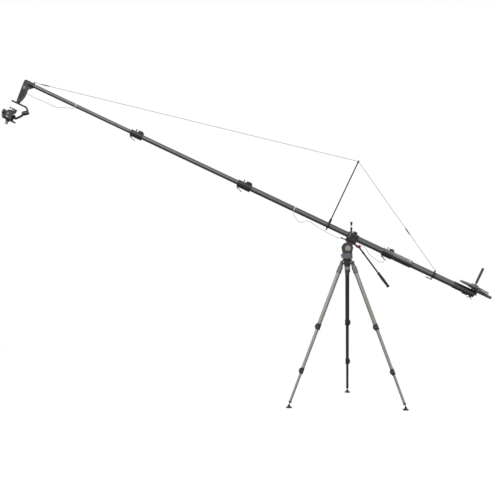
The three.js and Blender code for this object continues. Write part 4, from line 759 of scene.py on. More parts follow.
rear_pipe = pipe(
    REAR_TUBE_RADIUS, REAR_TUBE_RADIUS - TUBE_WALL, REAR_TUBE_START, REAR_TUBE_END, "x", sides=72)
piece("rear_tube_skin", "boom", rear_skin, BOOM, [rear_pipe], "rear_tube")
bracket_radius = REAR_TUBE_RADIUS + BRACKET_WALL
wing_level = -bracket_radius - WING_STEM_LENGTH
wing_start = BRACKET_AT - WING_LENGTH
piece("stay_bracket", "boom", black_casting, BOOM, [
    pipe(bracket_radius, REAR_TUBE_RADIUS - 0.2, BRACKET_AT - BRACKET_HALF_WIDTH,
         BRACKET_AT + BRACKET_HALF_WIDTH, "x", chamfer=1.0, sides=64),
    block((BRACKET_AT - EYE_RADIUS, -LUG_HALF, REAR_TUBE_RADIUS),
          (BRACKET_AT + EYE_RADIUS, LUG_HALF, REAR_EYE_HEIGHT)),
    bar(EYE_RADIUS, -EYE_HALF_WIDTH, EYE_HALF_WIDTH, "y", (BRACKET_AT, 0, REAR_EYE_HEIGHT)),
    bar(WING_STEM_RADIUS, wing_level, -REAR_TUBE_RADIUS, "z", (BRACKET_AT, 0, 0)),
    turned([(0, wing_start), (WING_RADIUS * 0.6, wing_start + 1), (WING_RADIUS, wing_start + 8),
            (WING_RADIUS * 0.7, BRACKET_AT - WING_LENGTH * 0.4), (WING_RADIUS, BRACKET_AT),
            (WING_RADIUS * 0.8, BRACKET_AT + WING_RADIUS), (0, BRACKET_AT + WING_RADIUS)],
           "x", 28, (0, 0, wing_level)),
])
screws("stay_bracket_screws", "boom", BOOM, 2, (BRACKET_AT - 6, -LUG_HALF - 0.4, bracket_radius + 3.4),
       (12, 0, 0), 2.0)

# Rear clamp
# A black split sleeve grips the rear tube's end with three bolts. The operator's handle, a
# lacquered tube with a round end, is bolted on behind it, level with the top of the sleeve.
CLAMP_START, CLAMP_END = 1171, 1415
CLAMP_RADIUS = 37
CLAMP_CHAMFER = 4
CLAMP_SLOT_WIDTH, CLAMP_SLOT_DEPTH = 5, 1.4
CLAMP_SLOTS = (1196, 1240, 1284, 1330)
CLAMP_EAR_HALF = 9
CLAMP_EAR_DROP = 9
CLAMP_EARS = (1298, 1320, 1342)
WEIGHT_AT = 1385
SEAT_RADIUS = 24
SEAT_TOP = 48
HANDLE_BLOCK_LENGTH, HANDLE_BLOCK_HALF = 22, 15
HANDLE_HEIGHT = 41
HANDLE_RADIUS = 16
HANDLE_END = 1600
HANDLE_GROOVES = (1447, 1566)

clamp_bore = REAR_TUBE_RADIUS + SLIDE_FIT
clamp_slots = [(at, at + CLAMP_SLOT_WIDTH, CLAMP_SLOT_DEPTH, 1) for at in CLAMP_SLOTS]
handle_start = CLAMP_END - CLAMP_CHAMFER
clamp_forms = [
    turned([(clamp_bore, CLAMP_START),
            *barrel(CLAMP_RADIUS, CLAMP_START, CLAMP_END, 1, clamp_slots, CLAMP_CHAMFER),
            (0, CLAMP_END), (0, REAR_TUBE_END + SLIDE_FIT),
            (clamp_bore, REAR_TUBE_END + SLIDE_FIT)], "x", 72),
    turned([(0, 0), (SEAT_RADIUS, 0), (SEAT_RADIUS, SEAT_TOP - 1), (SEAT_RADIUS - 1, SEAT_TOP),
            (0, SEAT_TOP)], "z", 48, (WEIGHT_AT, 0, 0)),
    block((handle_start, -HANDLE_BLOCK_HALF, -HANDLE_RADIUS / 2),
          (CLAMP_END + HANDLE_BLOCK_LENGTH, HANDLE_BLOCK_HALF, HANDLE_HEIGHT), 3.0),
]
for at in CLAMP_EARS:
    clamp_forms.append(block(
        (at - CLAMP_EAR_HALF, -CLAMP_EAR_HALF, -CLAMP_RADIUS - CLAMP_EAR_DROP),
        (at + CLAMP_EAR_HALF, CLAMP_EAR_HALF, -CLAMP_RADIUS + 5), 1.5))
# The rear clamp is grain-mottled dark grey with painted shade: its top turns near black as the weight
# plate's painted shadow, and its underside turns near black as painted shade.
clamp_black = Finish("clamp_black", "rear_carbon", metallic=0.2)
clamp_grain = clamp_black.noise(700, 3)
clamp_shade = clamp_black.mix((0.05, 0.05, 0.048), (0.13, 0.13, 0.125), clamp_grain)
clamp_shade = clamp_black.mix(clamp_shade, (0.008, 0.008, 0.008), clamp_black.upward(0.1, 0.5))
clamp_black.wear(
    clamp_black.mix((0.01, 0.01, 0.01), clamp_shade, clamp_black.upward(-0.55, -0.2)),
    roughness=clamp_grain * 0.2 + 0.4, height=clamp_grain)
piece("rear_clamp_sleeve", "boom", clamp_black, BOOM, clamp_forms, "rear_clamp")
screws("rear_clamp_bolts", "boom", BOOM, 3, (CLAMP_EARS[0], -CLAMP_EAR_HALF - 0.4, -CLAMP_RADIUS - 4),
       (CLAMP_EARS[1] - CLAMP_EARS[0], 0, 0), 3.4, 4.0, 6)
screws("handle_block_bolts", "boom", BOOM, 2, (CLAMP_END + 11, -HANDLE_BLOCK_HALF - 0.4, 2), (0, 0, 18), 3.0)
handle_profile = [
    *barrel(HANDLE_RADIUS, handle_start, HANDLE_END, 0,
            [(at, at + 3.8, 0.8, 0.8) for at in HANDLE_GROOVES])[1:-2],
    *arc(HANDLE_RADIUS, 0, 90, 8, (0, HANDLE_END - HANDLE_RADIUS))[:-1]]
handle = turned([(0, handle_start), *handle_profile, (0, HANDLE_END)], "x", 48, (0, 0, HANDLE_HEIGHT))
# The handle carries the rear tube skin's painted shade underneath and along the top.
piece("operator_handle", "boom", rear_skin, BOOM, [handle])

# Weight plate
# A pressed steel disc with a raised rim, on a steel hub that stands on the clamp's seat. It is
# bare metal, brushed round and round when it was faced on the lathe.
PLATE_RADIUS = 162.5
PLATE_BOTTOM, PLATE_TOP = 61, 79
PLATE_HUB_RADIUS = 65
PLATE_HUB_BOTTOM = 48.3
PLATE_BORE = 9
PLATE_RIM = 13
PLATE_WEB = 2.2
PLATE_HOLES = 6
PLATE_HOLE_RING = 112
PLATE_HOLE_RADIUS = 9
PLATE_DARK, PLATE_LIGHT = (0.5, 0.5, 0.475), (0.7, 0.7, 0.67)
WEIGHT = BOOM @ Matrix.Translation((WEIGHT_AT, 0, 0))

plate_steel = Finish("plate_steel", "steel", 0.36, metallic=0.1)
plate_square = plate_steel.turned_place(BOOM_TURN, (1, 1, 1), BOOM @ Vector((WEIGHT_AT, 0, 0)))
plate_axes = plate_steel.node("ShaderNodeSeparateXYZ", {0: plate_square}).outputs
plate_x, plate_y = Reading(plate_steel, plate_axes["X"]), Reading(plate_steel, plate_axes["Y"])
plate_ring = (plate_x * plate_x + plate_y * plate_y) ** 0.5
plate_rings = plate_steel.node("ShaderNodeCombineXYZ", {0: plate_ring * 900, 1: plate_x * 3, 2: plate_y * 3})
brushed = plate_steel.noise(1.0, 2.0, plate_rings.outputs[0])
stains = plate_steel.ramp(plate_steel.noise(14.0, 4.0), 0.5, 0.74)
plate_face = plate_steel.mix(
    plate_steel.mix(PLATE_DARK, PLATE_LIGHT, brushed), tuple(part * 0.7 for part in PLATE_DARK),
    stains * 0.35)
# The rim is painted with dark shade towards the front of the boom and a pale painted highlight towards the
# rear.
rim_painted_shade_and_highlight = plate_steel.mix(
    tuple(part * 0.25 for part in PLATE_DARK), PLATE_LIGHT, plate_steel.ramp(plate_x, 0.02, 0.07))
plate_steel.wear(
    plate_steel.mix(rim_painted_shade_and_highlight, plate_face, plate_steel.upward(0.35, 0.8)),
    roughness=brushed * 0.14 + stains * 0.2 + 0.36, height=brushed, depth=0.0001)

web_radius = PLATE_RADIUS - PLATE_RIM
plate = turned([
    (PLATE_HUB_RADIUS - 2, PLATE_HUB_BOTTOM), (PLATE_HUB_RADIUS, PLATE_HUB_BOTTOM + 2),
    (PLATE_HUB_RADIUS, PLATE_BOTTOM - 1), (PLATE_HUB_RADIUS + 3, PLATE_BOTTOM + PLATE_WEB),
    (web_radius - 3, PLATE_BOTTOM + PLATE_WEB), (web_radius, PLATE_BOTTOM),
    *barrel(PLATE_RADIUS, PLATE_BOTTOM, PLATE_TOP, 2),
    (web_radius, PLATE_TOP), (web_radius - 3, PLATE_TOP - PLATE_WEB),
    (PLATE_HUB_RADIUS - 12, PLATE_TOP - PLATE_WEB), (PLATE_HUB_RADIUS - 15, PLATE_TOP),
    (PLATE_BORE, PLATE_TOP), (PLATE_BORE, PLATE_HUB_BOTTOM)], "z", 128, (WEIGHT_AT, 0, 0))
piece("weight_disc", "boom", plate_steel, BOOM, [plate], "weight_plate")
plugs = [
    turned([(0, PLATE_BOTTOM + 1), (PLATE_HOLE_RADIUS, PLATE_BOTTOM + 1),
            (PLATE_HOLE_RADIUS, PLATE_TOP - 1.4), (PLATE_HOLE_RADIUS - 1.2, PLATE_TOP - 0.6),
            (PLATE_HOLE_RADIUS - 3, PLATE_TOP - 1.0), (0, PLATE_TOP - 1.6)], "z", 24,
           (*polar(PLATE_HOLE_RING, 360 * (i + 0.5) / PLATE_HOLES, (WEIGHT_AT, 0)), 0))
    for i in range(PLATE_HOLES)]
piece("weight_disc_plugs", "boom", black_casting, BOOM, plugs)

# Weight spindle
# A bolt through plate, seat and sleeve, with a flat steel collar over the plate, a long black
# handle to turn it by, and a wing nut below that locks it.
BOLT_RADIUS = 8
COLLAR_RADIUS, COLLAR_BOTTOM, COLLAR_TOP = 39.5, 87, 96
SPINDLE_RADIUS, SPINDLE_FOOT, SPINDLE_TOP = 14, 115, 289
NUT_RADIUS, NUT_BOTTOM, NUT_TOP = 14, -51.3, -37.3
WING_SPAN = 62
WING_HEIGHT = 24
WING_THICKNESS = 7
GRIP_RIBS = 26
GRIP_END = 26

spindle_black = metal_skin(
    "spindle_black", "spindle", (0.035, 0.035, 0.034), (0.085, 0.085, 0.08), 0.5, 0.1, grain=1500)

# One tree stands blocks in a ring, for knurls, teeth and scallops, facing out from its axis, Z.
RIB_RING = grown_tree(
    "ring_of_ribs",
    {
        "Count": "NodeSocketInt", "Radius": "NodeSocketFloat", "Rib size": "NodeSocketVector",
        "Finish": "NodeSocketMaterial",
    },
    {
        "circle": ("GeometryNodeMeshCircle", {}), "rib": ("GeometryNodeMeshCube", {}),
        "outwards": ("GeometryNodeInputPosition", {}),
        "facing": ("FunctionNodeAlignEulerToVector", {"axis": "X", "pivot_axis": "Z"}), **SPREAD,
    },
    [
        ("given", "Count", "circle", "Vertices"), ("given", "Radius", "circle", "Radius"),
        ("given", "Rib size", "rib", "Size"), ("outwards", 0, "facing", "Vector"),
        ("circle", "Mesh", "spread", "Points"), ("rib", "Mesh", "spread", "Instance"),
        ("facing", "Rotation", "spread", "Rotation"), *SPREAD_LINKS,
    ])


def ribs(name, body, finish, place, centre, axis, count, radius, size):
    grown_piece(name, body, finish, place @ Matrix.Translation(centre) @ ALONG[axis], RIB_RING, {
        "Count": count, "Radius": radius, "Rib size": size})


wing = side_plate([
    (NUT_RADIUS * 0.5, NUT_BOTTOM), (WING_SPAN * 0.36, NUT_BOTTOM - WING_HEIGHT * 0.5),
    (WING_SPAN * 0.5, NUT_BOTTOM - WING_HEIGHT * 0.3), (NUT_RADIUS * 0.5, NUT_TOP - WING_THICKNESS)],
    -WING_THICKNESS / 2, WING_THICKNESS / 2, 1.5)
waist_radius = SPINDLE_RADIUS - 1
piece("spindle_handle", "weight_spindle", spindle_black, WEIGHT, [
    bar(BOLT_RADIUS, NUT_BOTTOM, SPINDLE_FOOT + 1, sides=32),
    turned([(0, SPINDLE_FOOT), (SPINDLE_RADIUS - 3, SPINDLE_FOOT), (SPINDLE_RADIUS, SPINDLE_FOOT + 6),
            (waist_radius, SPINDLE_FOOT + 22), (waist_radius, SPINDLE_TOP - 22),
            (SPINDLE_RADIUS, SPINDLE_TOP - 8), (waist_radius, SPINDLE_TOP - 2),
            (SPINDLE_RADIUS - 4, SPINDLE_TOP), (0, SPINDLE_TOP)], "z", 48),
    turned([(0, NUT_BOTTOM), (NUT_RADIUS - 2, NUT_BOTTOM), (NUT_RADIUS, NUT_BOTTOM + 3),
            (NUT_RADIUS, NUT_TOP), (0, NUT_TOP)], "z", 40),
    wing, wing.at(Matrix.Rotation(pi, 4, "Z")),
], "weight_spindle")
ribs("spindle_grip_ribs", "weight_spindle", spindle_black, WEIGHT, (0, 0, (SPINDLE_FOOT + SPINDLE_TOP) / 2),
     "z", GRIP_RIBS, waist_radius, (1.0, 1.7, SPINDLE_TOP - SPINDLE_FOOT - 2 * GRIP_END))
collar = turned([
    (BOLT_RADIUS, COLLAR_BOTTOM), *barrel(COLLAR_RADIUS, COLLAR_BOTTOM, COLLAR_TOP, 1.5),
    (COLLAR_RADIUS - 12, COLLAR_TOP), (COLLAR_RADIUS - 13, COLLAR_TOP - 1),
    (BOLT_RADIUS + 8, COLLAR_TOP - 1), (BOLT_RADIUS + 6, COLLAR_TOP + 4),
    (BOLT_RADIUS, COLLAR_TOP + 4)], "z", 64)
piece("spindle_collar", "weight_spindle", dark_steel, WEIGHT, [collar])

# Fulcrum block
# A machined block clamps the main tube over the head. Its two halves meet along a thin seam,
# four cap screws pull them together, and a domed black knob on top presses on the tube.
FULCRUM_START, FULCRUM_END = -56, 57
FULCRUM_HALF_WIDTH = 40
FULCRUM_TOP, FULCRUM_BOTTOM = 38, -54.9
FULCRUM_CORNER = 14
FULCRUM_HALF_SEAM = 0.6
KNOB_AT = 8
KNOB_RADIUS = 25
KNOB_DOME = 25
FULCRUM_SCREW_ROWS = {"upper": 14, "lower": -14, "foot": -43}
SLIDE_START, SLIDE_END = -110, 60
SLIDE_HALF_WIDTH = 27
SLIDE_BOTTOM, SLIDE_TOP = 66.8, 76.8
SLIDE_SCALE_MARKS = 9


def cross_block(outline):
    """A block as long as the fulcrum, its outline in Y and Z, counterclockwise from the rear."""
    return slab([(FULCRUM_END, y, z) for y, z in outline], [(FULCRUM_START, y, z) for y, z in outline], 1.5)


corner_y, corner_z = FULCRUM_HALF_WIDTH - FULCRUM_CORNER, FULCRUM_TOP - FULCRUM_CORNER
piece("fulcrum_halves", "boom", black_casting, BOOM, [
    cross_block([
        (-FULCRUM_HALF_WIDTH, FULCRUM_HALF_SEAM), (FULCRUM_HALF_WIDTH, FULCRUM_HALF_SEAM),
        *arc(FULCRUM_CORNER, 0, 90, 6, (corner_y, corner_z)),
        *arc(FULCRUM_CORNER, 90, 180, 6, (-corner_y, corner_z))]),
    cross_block([
        (-FULCRUM_HALF_WIDTH + 3, FULCRUM_BOTTOM), (FULCRUM_HALF_WIDTH - 3, FULCRUM_BOTTOM),
        (FULCRUM_HALF_WIDTH, FULCRUM_BOTTOM + 3), (FULCRUM_HALF_WIDTH, -FULCRUM_HALF_SEAM),
        (-FULCRUM_HALF_WIDTH, -FULCRUM_HALF_SEAM), (-FULCRUM_HALF_WIDTH, FULCRUM_BOTTOM + 3)]),
    block((FULCRUM_START + 4, -FULCRUM_HALF_WIDTH + 2, -4), (FULCRUM_END - 4, FULCRUM_HALF_WIDTH - 2, 4), 0),
    turned([(0, -3), (KNOB_RADIUS * 0.6, -3), (KNOB_RADIUS * 0.6, 2), (KNOB_RADIUS, 3), (KNOB_RADIUS, 13),
            (KNOB_RADIUS * 0.93, 18), (KNOB_RADIUS * 0.72, 22.2), (KNOB_RADIUS * 0.4, 24.4), (0, KNOB_DOME)],
           "z", 48, (KNOB_AT, 0, FULCRUM_TOP)),
], "fulcrum_block")
ribs("fulcrum_knob_ribs", "boom", black_casting, BOOM, (KNOB_AT, 0, FULCRUM_TOP + 7.5), "z", 18,
     KNOB_RADIUS - 0.2, (1.4, 2.0, 8.0))
for row, level in FULCRUM_SCREW_ROWS.items():
    screws(f"fulcrum_screws_{row}", "boom", BOOM, 3, (FULCRUM_START + 16, -FULCRUM_HALF_WIDTH - 0.4, level),
           (40, 0, 0), 4.2, 2.0, 16)
slide_forms = [block(
    (SLIDE_START, -SLIDE_HALF_WIDTH, SLIDE_BOTTOM), (SLIDE_END, SLIDE_HALF_WIDTH, SLIDE_TOP), 1.5)]
for i in range(SLIDE_SCALE_MARKS):
    at = SLIDE_START + 8 + 5 * i
    slide_forms.append(block(
        (at, -SLIDE_HALF_WIDTH - 0.25, SLIDE_BOTTOM + 3),
        (at + 0.8, -SLIDE_HALF_WIDTH + 1, SLIDE_TOP - 2.5), 0))
piece("balance_plate", "boom", black_casting, TILTED, slide_forms, "sliding_plate")

# Ball mount
# A small mount for a monitor stands upright on the fulcrum: a chromed neck with a lock collar,
# and a dark ribbed head with a flat round top.
MOUNT_AT = -33
MOUNT_FOOT_RADIUS, MOUNT_FOOT_TOP = 12, 44
MOUNT_NECK_RADIUS, MOUNT_NECK_TOP = 8, 74
MOUNT_HEAD_RADIUS, MOUNT_TOP = 13, 108
JAW_HALF_LENGTH = 7

MOUNT = BOOM @ Matrix.Translation((MOUNT_AT, 0, FULCRUM_TOP)) @ Matrix.Rotation(-BOOM_PITCH, 4, "Y")
neck_ring = MOUNT_NECK_RADIUS + 1.2
piece("mount_neck", "boom", bright_steel, MOUNT, [turned([
    (0, MOUNT_FOOT_TOP - 4), (MOUNT_NECK_RADIUS, MOUNT_FOOT_TOP - 4),
    (MOUNT_NECK_RADIUS, MOUNT_FOOT_TOP + 8), (neck_ring, MOUNT_FOOT_TOP + 10),
    (neck_ring, MOUNT_FOOT_TOP + 14), (MOUNT_NECK_RADIUS, MOUNT_FOOT_TOP + 16),
    (MOUNT_NECK_RADIUS, MOUNT_NECK_TOP), (0, MOUNT_NECK_TOP)], "z", 40)], "monitor_mount")
piece("mount_head", "boom", black_casting, MOUNT, [
    turned([(0, -4), (MOUNT_FOOT_RADIUS, -4), (MOUNT_FOOT_RADIUS, 8), (MOUNT_FOOT_RADIUS - 3, 11),
            (MOUNT_FOOT_RADIUS - 3, 24), (MOUNT_FOOT_RADIUS, 27), (MOUNT_FOOT_RADIUS, MOUNT_FOOT_TOP - 2),
            (MOUNT_FOOT_RADIUS - 2, MOUNT_FOOT_TOP), (0, MOUNT_FOOT_TOP)], "z", 40),
    turned([(0, MOUNT_NECK_TOP - 8), (7, MOUNT_NECK_TOP - 7), (10, MOUNT_NECK_TOP),
            (10.5, MOUNT_NECK_TOP + 10), (8, MOUNT_NECK_TOP + 15),
            (MOUNT_HEAD_RADIUS, MOUNT_NECK_TOP + 20), (MOUNT_HEAD_RADIUS, MOUNT_TOP - 2),
            (MOUNT_HEAD_RADIUS - 1.5, MOUNT_TOP), (0, MOUNT_TOP)], "z", 40),
])
jaw = block(
    (MOUNT_AT - JAW_HALF_LENGTH - 5, -FULCRUM_HALF_WIDTH - 1.6, -22),
    (MOUNT_AT + JAW_HALF_LENGTH - 5, -FULCRUM_HALF_WIDTH + 3, FULCRUM_TOP - 10), 1.2)
piece("mount_jaw", "boom", grey_satin, BOOM, [jaw])
ribs("mount_head_ribs", "boom", black_casting, MOUNT, (0, 0, MOUNT_TOP - 6.5), "z", 22,
     MOUNT_HEAD_RADIUS - 0.3, (1.0, 1.4, 8.0))

# Mast
# A thin steel mast, painted black, is screwed into a clamp ring round the main tube. Its cap
# carries the stays' eye, and a T screw below tightens the ring.
MAST_AT = -284
MAST_RADIUS, MAST_TOP = 6.5, 751
CAP_RADIUS, CAP_LENGTH = 9, 30
MAST_EYE_HEIGHT = 741
MAST_EYE_BORE = 3.2
RING_RADIUS, RING_BORE, RING_HALF = 34.5, 28.8, 12.5
BOSS_TOP = 70.5
MAST_SCREW_RADIUS = 5
MAST_KNOB_LEVEL = -50.5
MAST_KNOB_RADIUS, MAST_KNOB_HALF = 7.5, 17

MAST = BOOM @ Matrix.Translation((MAST_AT, 0, 0))
piece("mast_and_clamp", "boom", black_casting, MAST, [
    pipe(RING_RADIUS, RING_BORE, -RING_HALF, RING_HALF, "x", chamfer=1.5, sides=64),
    block((-RING_HALF, -RING_HALF, 31), (RING_HALF, RING_HALF, BOSS_TOP), 2.5),
    bar(10, BOSS_TOP - 1, BOSS_TOP + 6, sides=6),
    bar(MAST_RADIUS, 34, MAST_TOP - 2, chamfer=1.0),
    turned([(0, MAST_TOP - CAP_LENGTH), (CAP_RADIUS - 1.5, MAST_TOP - CAP_LENGTH),
            (CAP_RADIUS, MAST_TOP - CAP_LENGTH + 2), (CAP_RADIUS, MAST_TOP - 3),
            (CAP_RADIUS - 2.5, MAST_TOP), (0, MAST_TOP)], "z", 32),
    turned([(MAST_EYE_BORE, -8), *barrel(CAP_RADIUS, -8, 8, 1), (MAST_EYE_BORE, 8)], "y", 36,
           (0, 0, MAST_EYE_HEIGHT)),
    bar(MAST_SCREW_RADIUS, MAST_KNOB_LEVEL, -30, sides=24),
    turned([(0, -MAST_KNOB_HALF), (MAST_KNOB_RADIUS * 0.8, -MAST_KNOB_HALF + 1),
            (MAST_KNOB_RADIUS, -MAST_KNOB_HALF + 6), (MAST_KNOB_RADIUS * 0.85, 0),
            (MAST_KNOB_RADIUS, MAST_KNOB_HALF - 6), (MAST_KNOB_RADIUS * 0.8, MAST_KNOB_HALF - 1),
            (0, MAST_KNOB_HALF)], "y", 28, (0, 0, MAST_KNOB_LEVEL)),
], "mast")
screws("mast_clamp_screws", "boom", MAST, 2, (-6, -RING_HALF - 0.4, 50), (12, 0, 0), 2.4)

# Stay wires
# Two plastic-sheathed steel wires brace the boom over the mast. Each is made of twisted strands
# crimped round its eyes, with a turnbuckle to tighten it.
STAY_RADIUS = 2
STAY_STEPS = 48
BUCKLE_RADIUS, BUCKLE_LENGTH = 6, 78
FRONT_EYE = (-3714, 34)
REAR_EYE = (BRACKET_AT, REAR_EYE_HEIGHT)
STAY_FROM_MAST, STAY_TO_EYE = 9.4, 6.4
FRONT_BUCKLE_SHARE = 0.968
REAR_BUCKLE_SHARE = 0.64
FRONT_STAGE_SHARE = 1 / 1.55

stay_finish = Finish("stay_finish", "wire", roughness=0.4)
stay_dirt = stay_finish.noise(45)
stay_finish.wear(
    stay_finish.mix((0.028, 0.029, 0.028), (0.065, 0.065, 0.062), stay_dirt),
    roughness=stay_dirt * 0.2 + 0.3, height=stay_finish.noise(1800), depth=0.0001)


def swept(section, route, up=(0, 0, 1)):
    """Sweeps a section, counterclockwise with its second axis up, along a route."""
    count = len(section)
    corners, faces = [], []
    for i, point in enumerate(route):
        ahead = (route[min(i + 1, len(route) - 1)] - route[max(i - 1, 0)]).normalized()
        side = ahead.cross(Vector(up)).normalized()
        normal = side.cross(ahead)
        corners += [point + side * a + normal * b for a, b in section]
    for low in range(0, len(corners) - count, count):
        for i in range(count):
            k = (i + 1) % count
            faces.append([low + k, low + i, low + count + i, low + count + k])
    faces += [list(range(count)), [len(corners) - 1 - i for i in range(count)]]
    return Form(corners, faces)


def rod(radius, sides, start, end, steps=1):
    """A straight round rod between two points."""
    section = arc(radius, 0, 360, sides)[:-1]
    return swept(section, [start.lerp(end, i / steps) for i in range(steps + 1)])


def stay_line(eye_at, eye_height):
    start, end = Vector((MAST_AT, 0, MAST_EYE_HEIGHT)), Vector((eye_at, 0, eye_height))
    run = (end - start).normalized()
    return start + run * STAY_FROM_MAST, end - run * STAY_TO_EYE, run


def turnbuckle(middle, run):
    half = run * BUCKLE_LENGTH / 2
    return [
        rod(BUCKLE_RADIUS, 6, middle - half * 0.55, middle + half * 0.55),
        *[rod(BUCKLE_RADIUS * 0.85, 20, middle + half * side, middle + half * side * 0.5)
          for side in (-1, 1)],
        rod(STAY_RADIUS * 1.5, 16, middle - half * 1.25, middle + half * 1.25),
    ]


def blended_wire(name, forms, near_body, far_body, start, end, *replaced):
    """A stretch of wire between two bodies, baked fixed in place where it is made."""
    made = joined(name, stay_finish, BOOM, forms)
    tuple(BOOM @ start)
    tuple(BOOM @ end)
    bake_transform(made)
    if replaced:
        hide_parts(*replaced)


rear_from, rear_to, rear_run = stay_line(*REAR_EYE)
piece("rear_stay_wire", "boom", stay_finish, BOOM, [
    rod(STAY_RADIUS, 16, rear_from, rear_to, STAY_STEPS),
    *turnbuckle(rear_from.lerp(rear_to, REAR_BUCKLE_SHARE), rear_run)], "rear_stay")
front_from, front_to, front_run = stay_line(*FRONT_EYE)
buckle_middle = front_from.lerp(front_to, FRONT_BUCKLE_SHARE)
buckle_start = buckle_middle - front_run * BUCKLE_LENGTH * 0.7
stage_point = front_from.lerp(buckle_start, FRONT_STAGE_SHARE)
blended_wire("front_stay_main", [rod(STAY_RADIUS, 16, front_from, stage_point, STAY_STEPS)],
             "boom", "boom_middle", front_from, stage_point, "front_stay")
blended_wire("front_stay_far", [
    rod(STAY_RADIUS, 16, stage_point, buckle_start, STAY_STEPS),
    rod(STAY_RADIUS, 16, buckle_start, front_to, 4),
    *turnbuckle(buckle_middle, front_run)], "boom_middle", "boom_front", stage_point, buckle_start)

# Tip bracket
# A black machined bracket closes the boom's front tip. Its collar is clamped on the front tube,
# and its plate carries the gimbal's handle below and the front stay's lug above.
TIP_RADIUS, TIP_START, TIP_END = 26, -3768.5, -3705
TIP_BORE, TIP_END_WALL = 20.7, 6
TIP_SEAM = (-3746, -3741, 1.2, 1)
TIP_PLATE_FRONT, TIP_PLATE_REAR = -3815, -3750
TIP_HALF_HEIGHT, TIP_HALF_WIDTH = 26, 22
TIP_CHAMFER = 15.6
TIP_SCREW_ROWS = {"upper": 14, "lower": -16}
GUSSET_START, GUSSET_LENGTH = -3742.7, 44
GUSSET_DEPTH, GUSSET_HALF = 60, 6
LUG_FOOT = 22
EYE_BORE = 2.2

piece("tip_casting", "boom_front", black_casting, BOOM, [
    turned([(TIP_BORE, TIP_START + TIP_END_WALL), (0, TIP_START + TIP_END_WALL), (0, TIP_START),
            *barrel(TIP_RADIUS, TIP_START, TIP_END, 0, [TIP_SEAM], 2)[1:], (TIP_BORE, TIP_END)], "x", 64),
    side_plate([(TIP_PLATE_FRONT, -TIP_HALF_HEIGHT), (TIP_PLATE_REAR, -TIP_HALF_HEIGHT),
                (TIP_PLATE_REAR, TIP_HALF_HEIGHT), (TIP_PLATE_FRONT + TIP_CHAMFER * 0.7, TIP_HALF_HEIGHT),
                (TIP_PLATE_FRONT, TIP_HALF_HEIGHT - TIP_CHAMFER)], -TIP_HALF_WIDTH, TIP_HALF_WIDTH, 2.5),
    side_plate([(GUSSET_START, -GUSSET_DEPTH), (GUSSET_START + GUSSET_LENGTH, -21), (GUSSET_START, -21)],
               -GUSSET_HALF, GUSSET_HALF, 0.8),
    block((FRONT_EYE[0] - EYE_RADIUS, -LUG_HALF, LUG_FOOT),
          (FRONT_EYE[0] + EYE_RADIUS, LUG_HALF, FRONT_EYE[1]), 0.8),
    turned([(EYE_BORE, -EYE_HALF_WIDTH), (EYE_RADIUS, -EYE_HALF_WIDTH), (EYE_RADIUS, EYE_HALF_WIDTH),
            (EYE_BORE, EYE_HALF_WIDTH)], "y", 32, (FRONT_EYE[0], 0, FRONT_EYE[1])),
], "tip_bracket")
for row, level in TIP_SCREW_ROWS.items():
    screws(f"tip_screws_{row}", "boom_front", BOOM, 2, (TIP_PLATE_FRONT + 16, -TIP_HALF_WIDTH - 0.4, level),
           (34, 0, 0), 3.0)
cover_front, cover_rear = TIP_PLATE_FRONT + 24, TIP_PLATE_FRONT + 44
cover = side_plate([(cover_front, -9), (cover_rear, -9), (cover_rear, 8), (cover_front, 8)],
                   -TIP_HALF_WIDTH - 0.5, -TIP_HALF_WIDTH + 2, 0.4)
piece("tip_cover_plate", "boom_front", dark_steel, BOOM, [cover])

# Gimbal handle
# The handle that the gimbal hangs by is moulded in black plastic, with rubber side pads, a battery
# lid at the rear, a small control panel, and the pan motor in a metal can at its foot.
GIMBAL_AT = -3782
GRIP_HALF = 20
GRIP_TOP = -26.3
GRIP_OUTLINE = [
    (-19, -212), (19, -212), (27, -190), (33, -169), (37.5, -140), (39, -107), (36, -70),
    (32, GRIP_TOP), (-33, GRIP_TOP), (-31, -60),
]
LID_OUTLINE, LID_HALF = [(30.5, -162), (39.8, -138), (41.2, -107), (38.5, -76), (33, -76)], 13
PAD_OUTLINE = [(-21, -196), (17, -196), (31, -160), (34, -107), (28, -66), (-27, -66)]
PAD_INSET = 8
PAD_STAND = 0.9
PANEL_FRONT, PANEL_REAR, PANEL_BOTTOM, PANEL_TOP = -14, 8, -78, -46
PANEL_BUTTONS = (-9, -2, 5)
MOTOR_RADIUS, MOTOR_BOTTOM, MOTOR_TOP = 21, -226, -190

black_moulding = metal_skin(
    "black_moulding", "black_plastic", (0.02, 0.02, 0.021), (0.05, 0.05, 0.052), 0.55, 0.0, grain=2600,
    depth=0.0002)
soft_rubber = metal_skin(
    "soft_rubber", "rubber", (0.014, 0.014, 0.014), (0.036, 0.036, 0.035), 0.8, 0.0, grain=1400,
    depth=0.0003)
GIMBAL = BOOM @ Matrix.Translation((GIMBAL_AT, 0, 0))


def inset(outline, inwards):
    """The same outline drawn in towards its middle by about one distance all round."""
    middle = sum((Vector(point) for point in outline), Vector((0, 0))) / len(outline)
    spokes = [Vector(point) - middle for point in outline]
    return [tuple(middle + spoke * (1 - inwards / spoke.length)) for spoke in spokes]


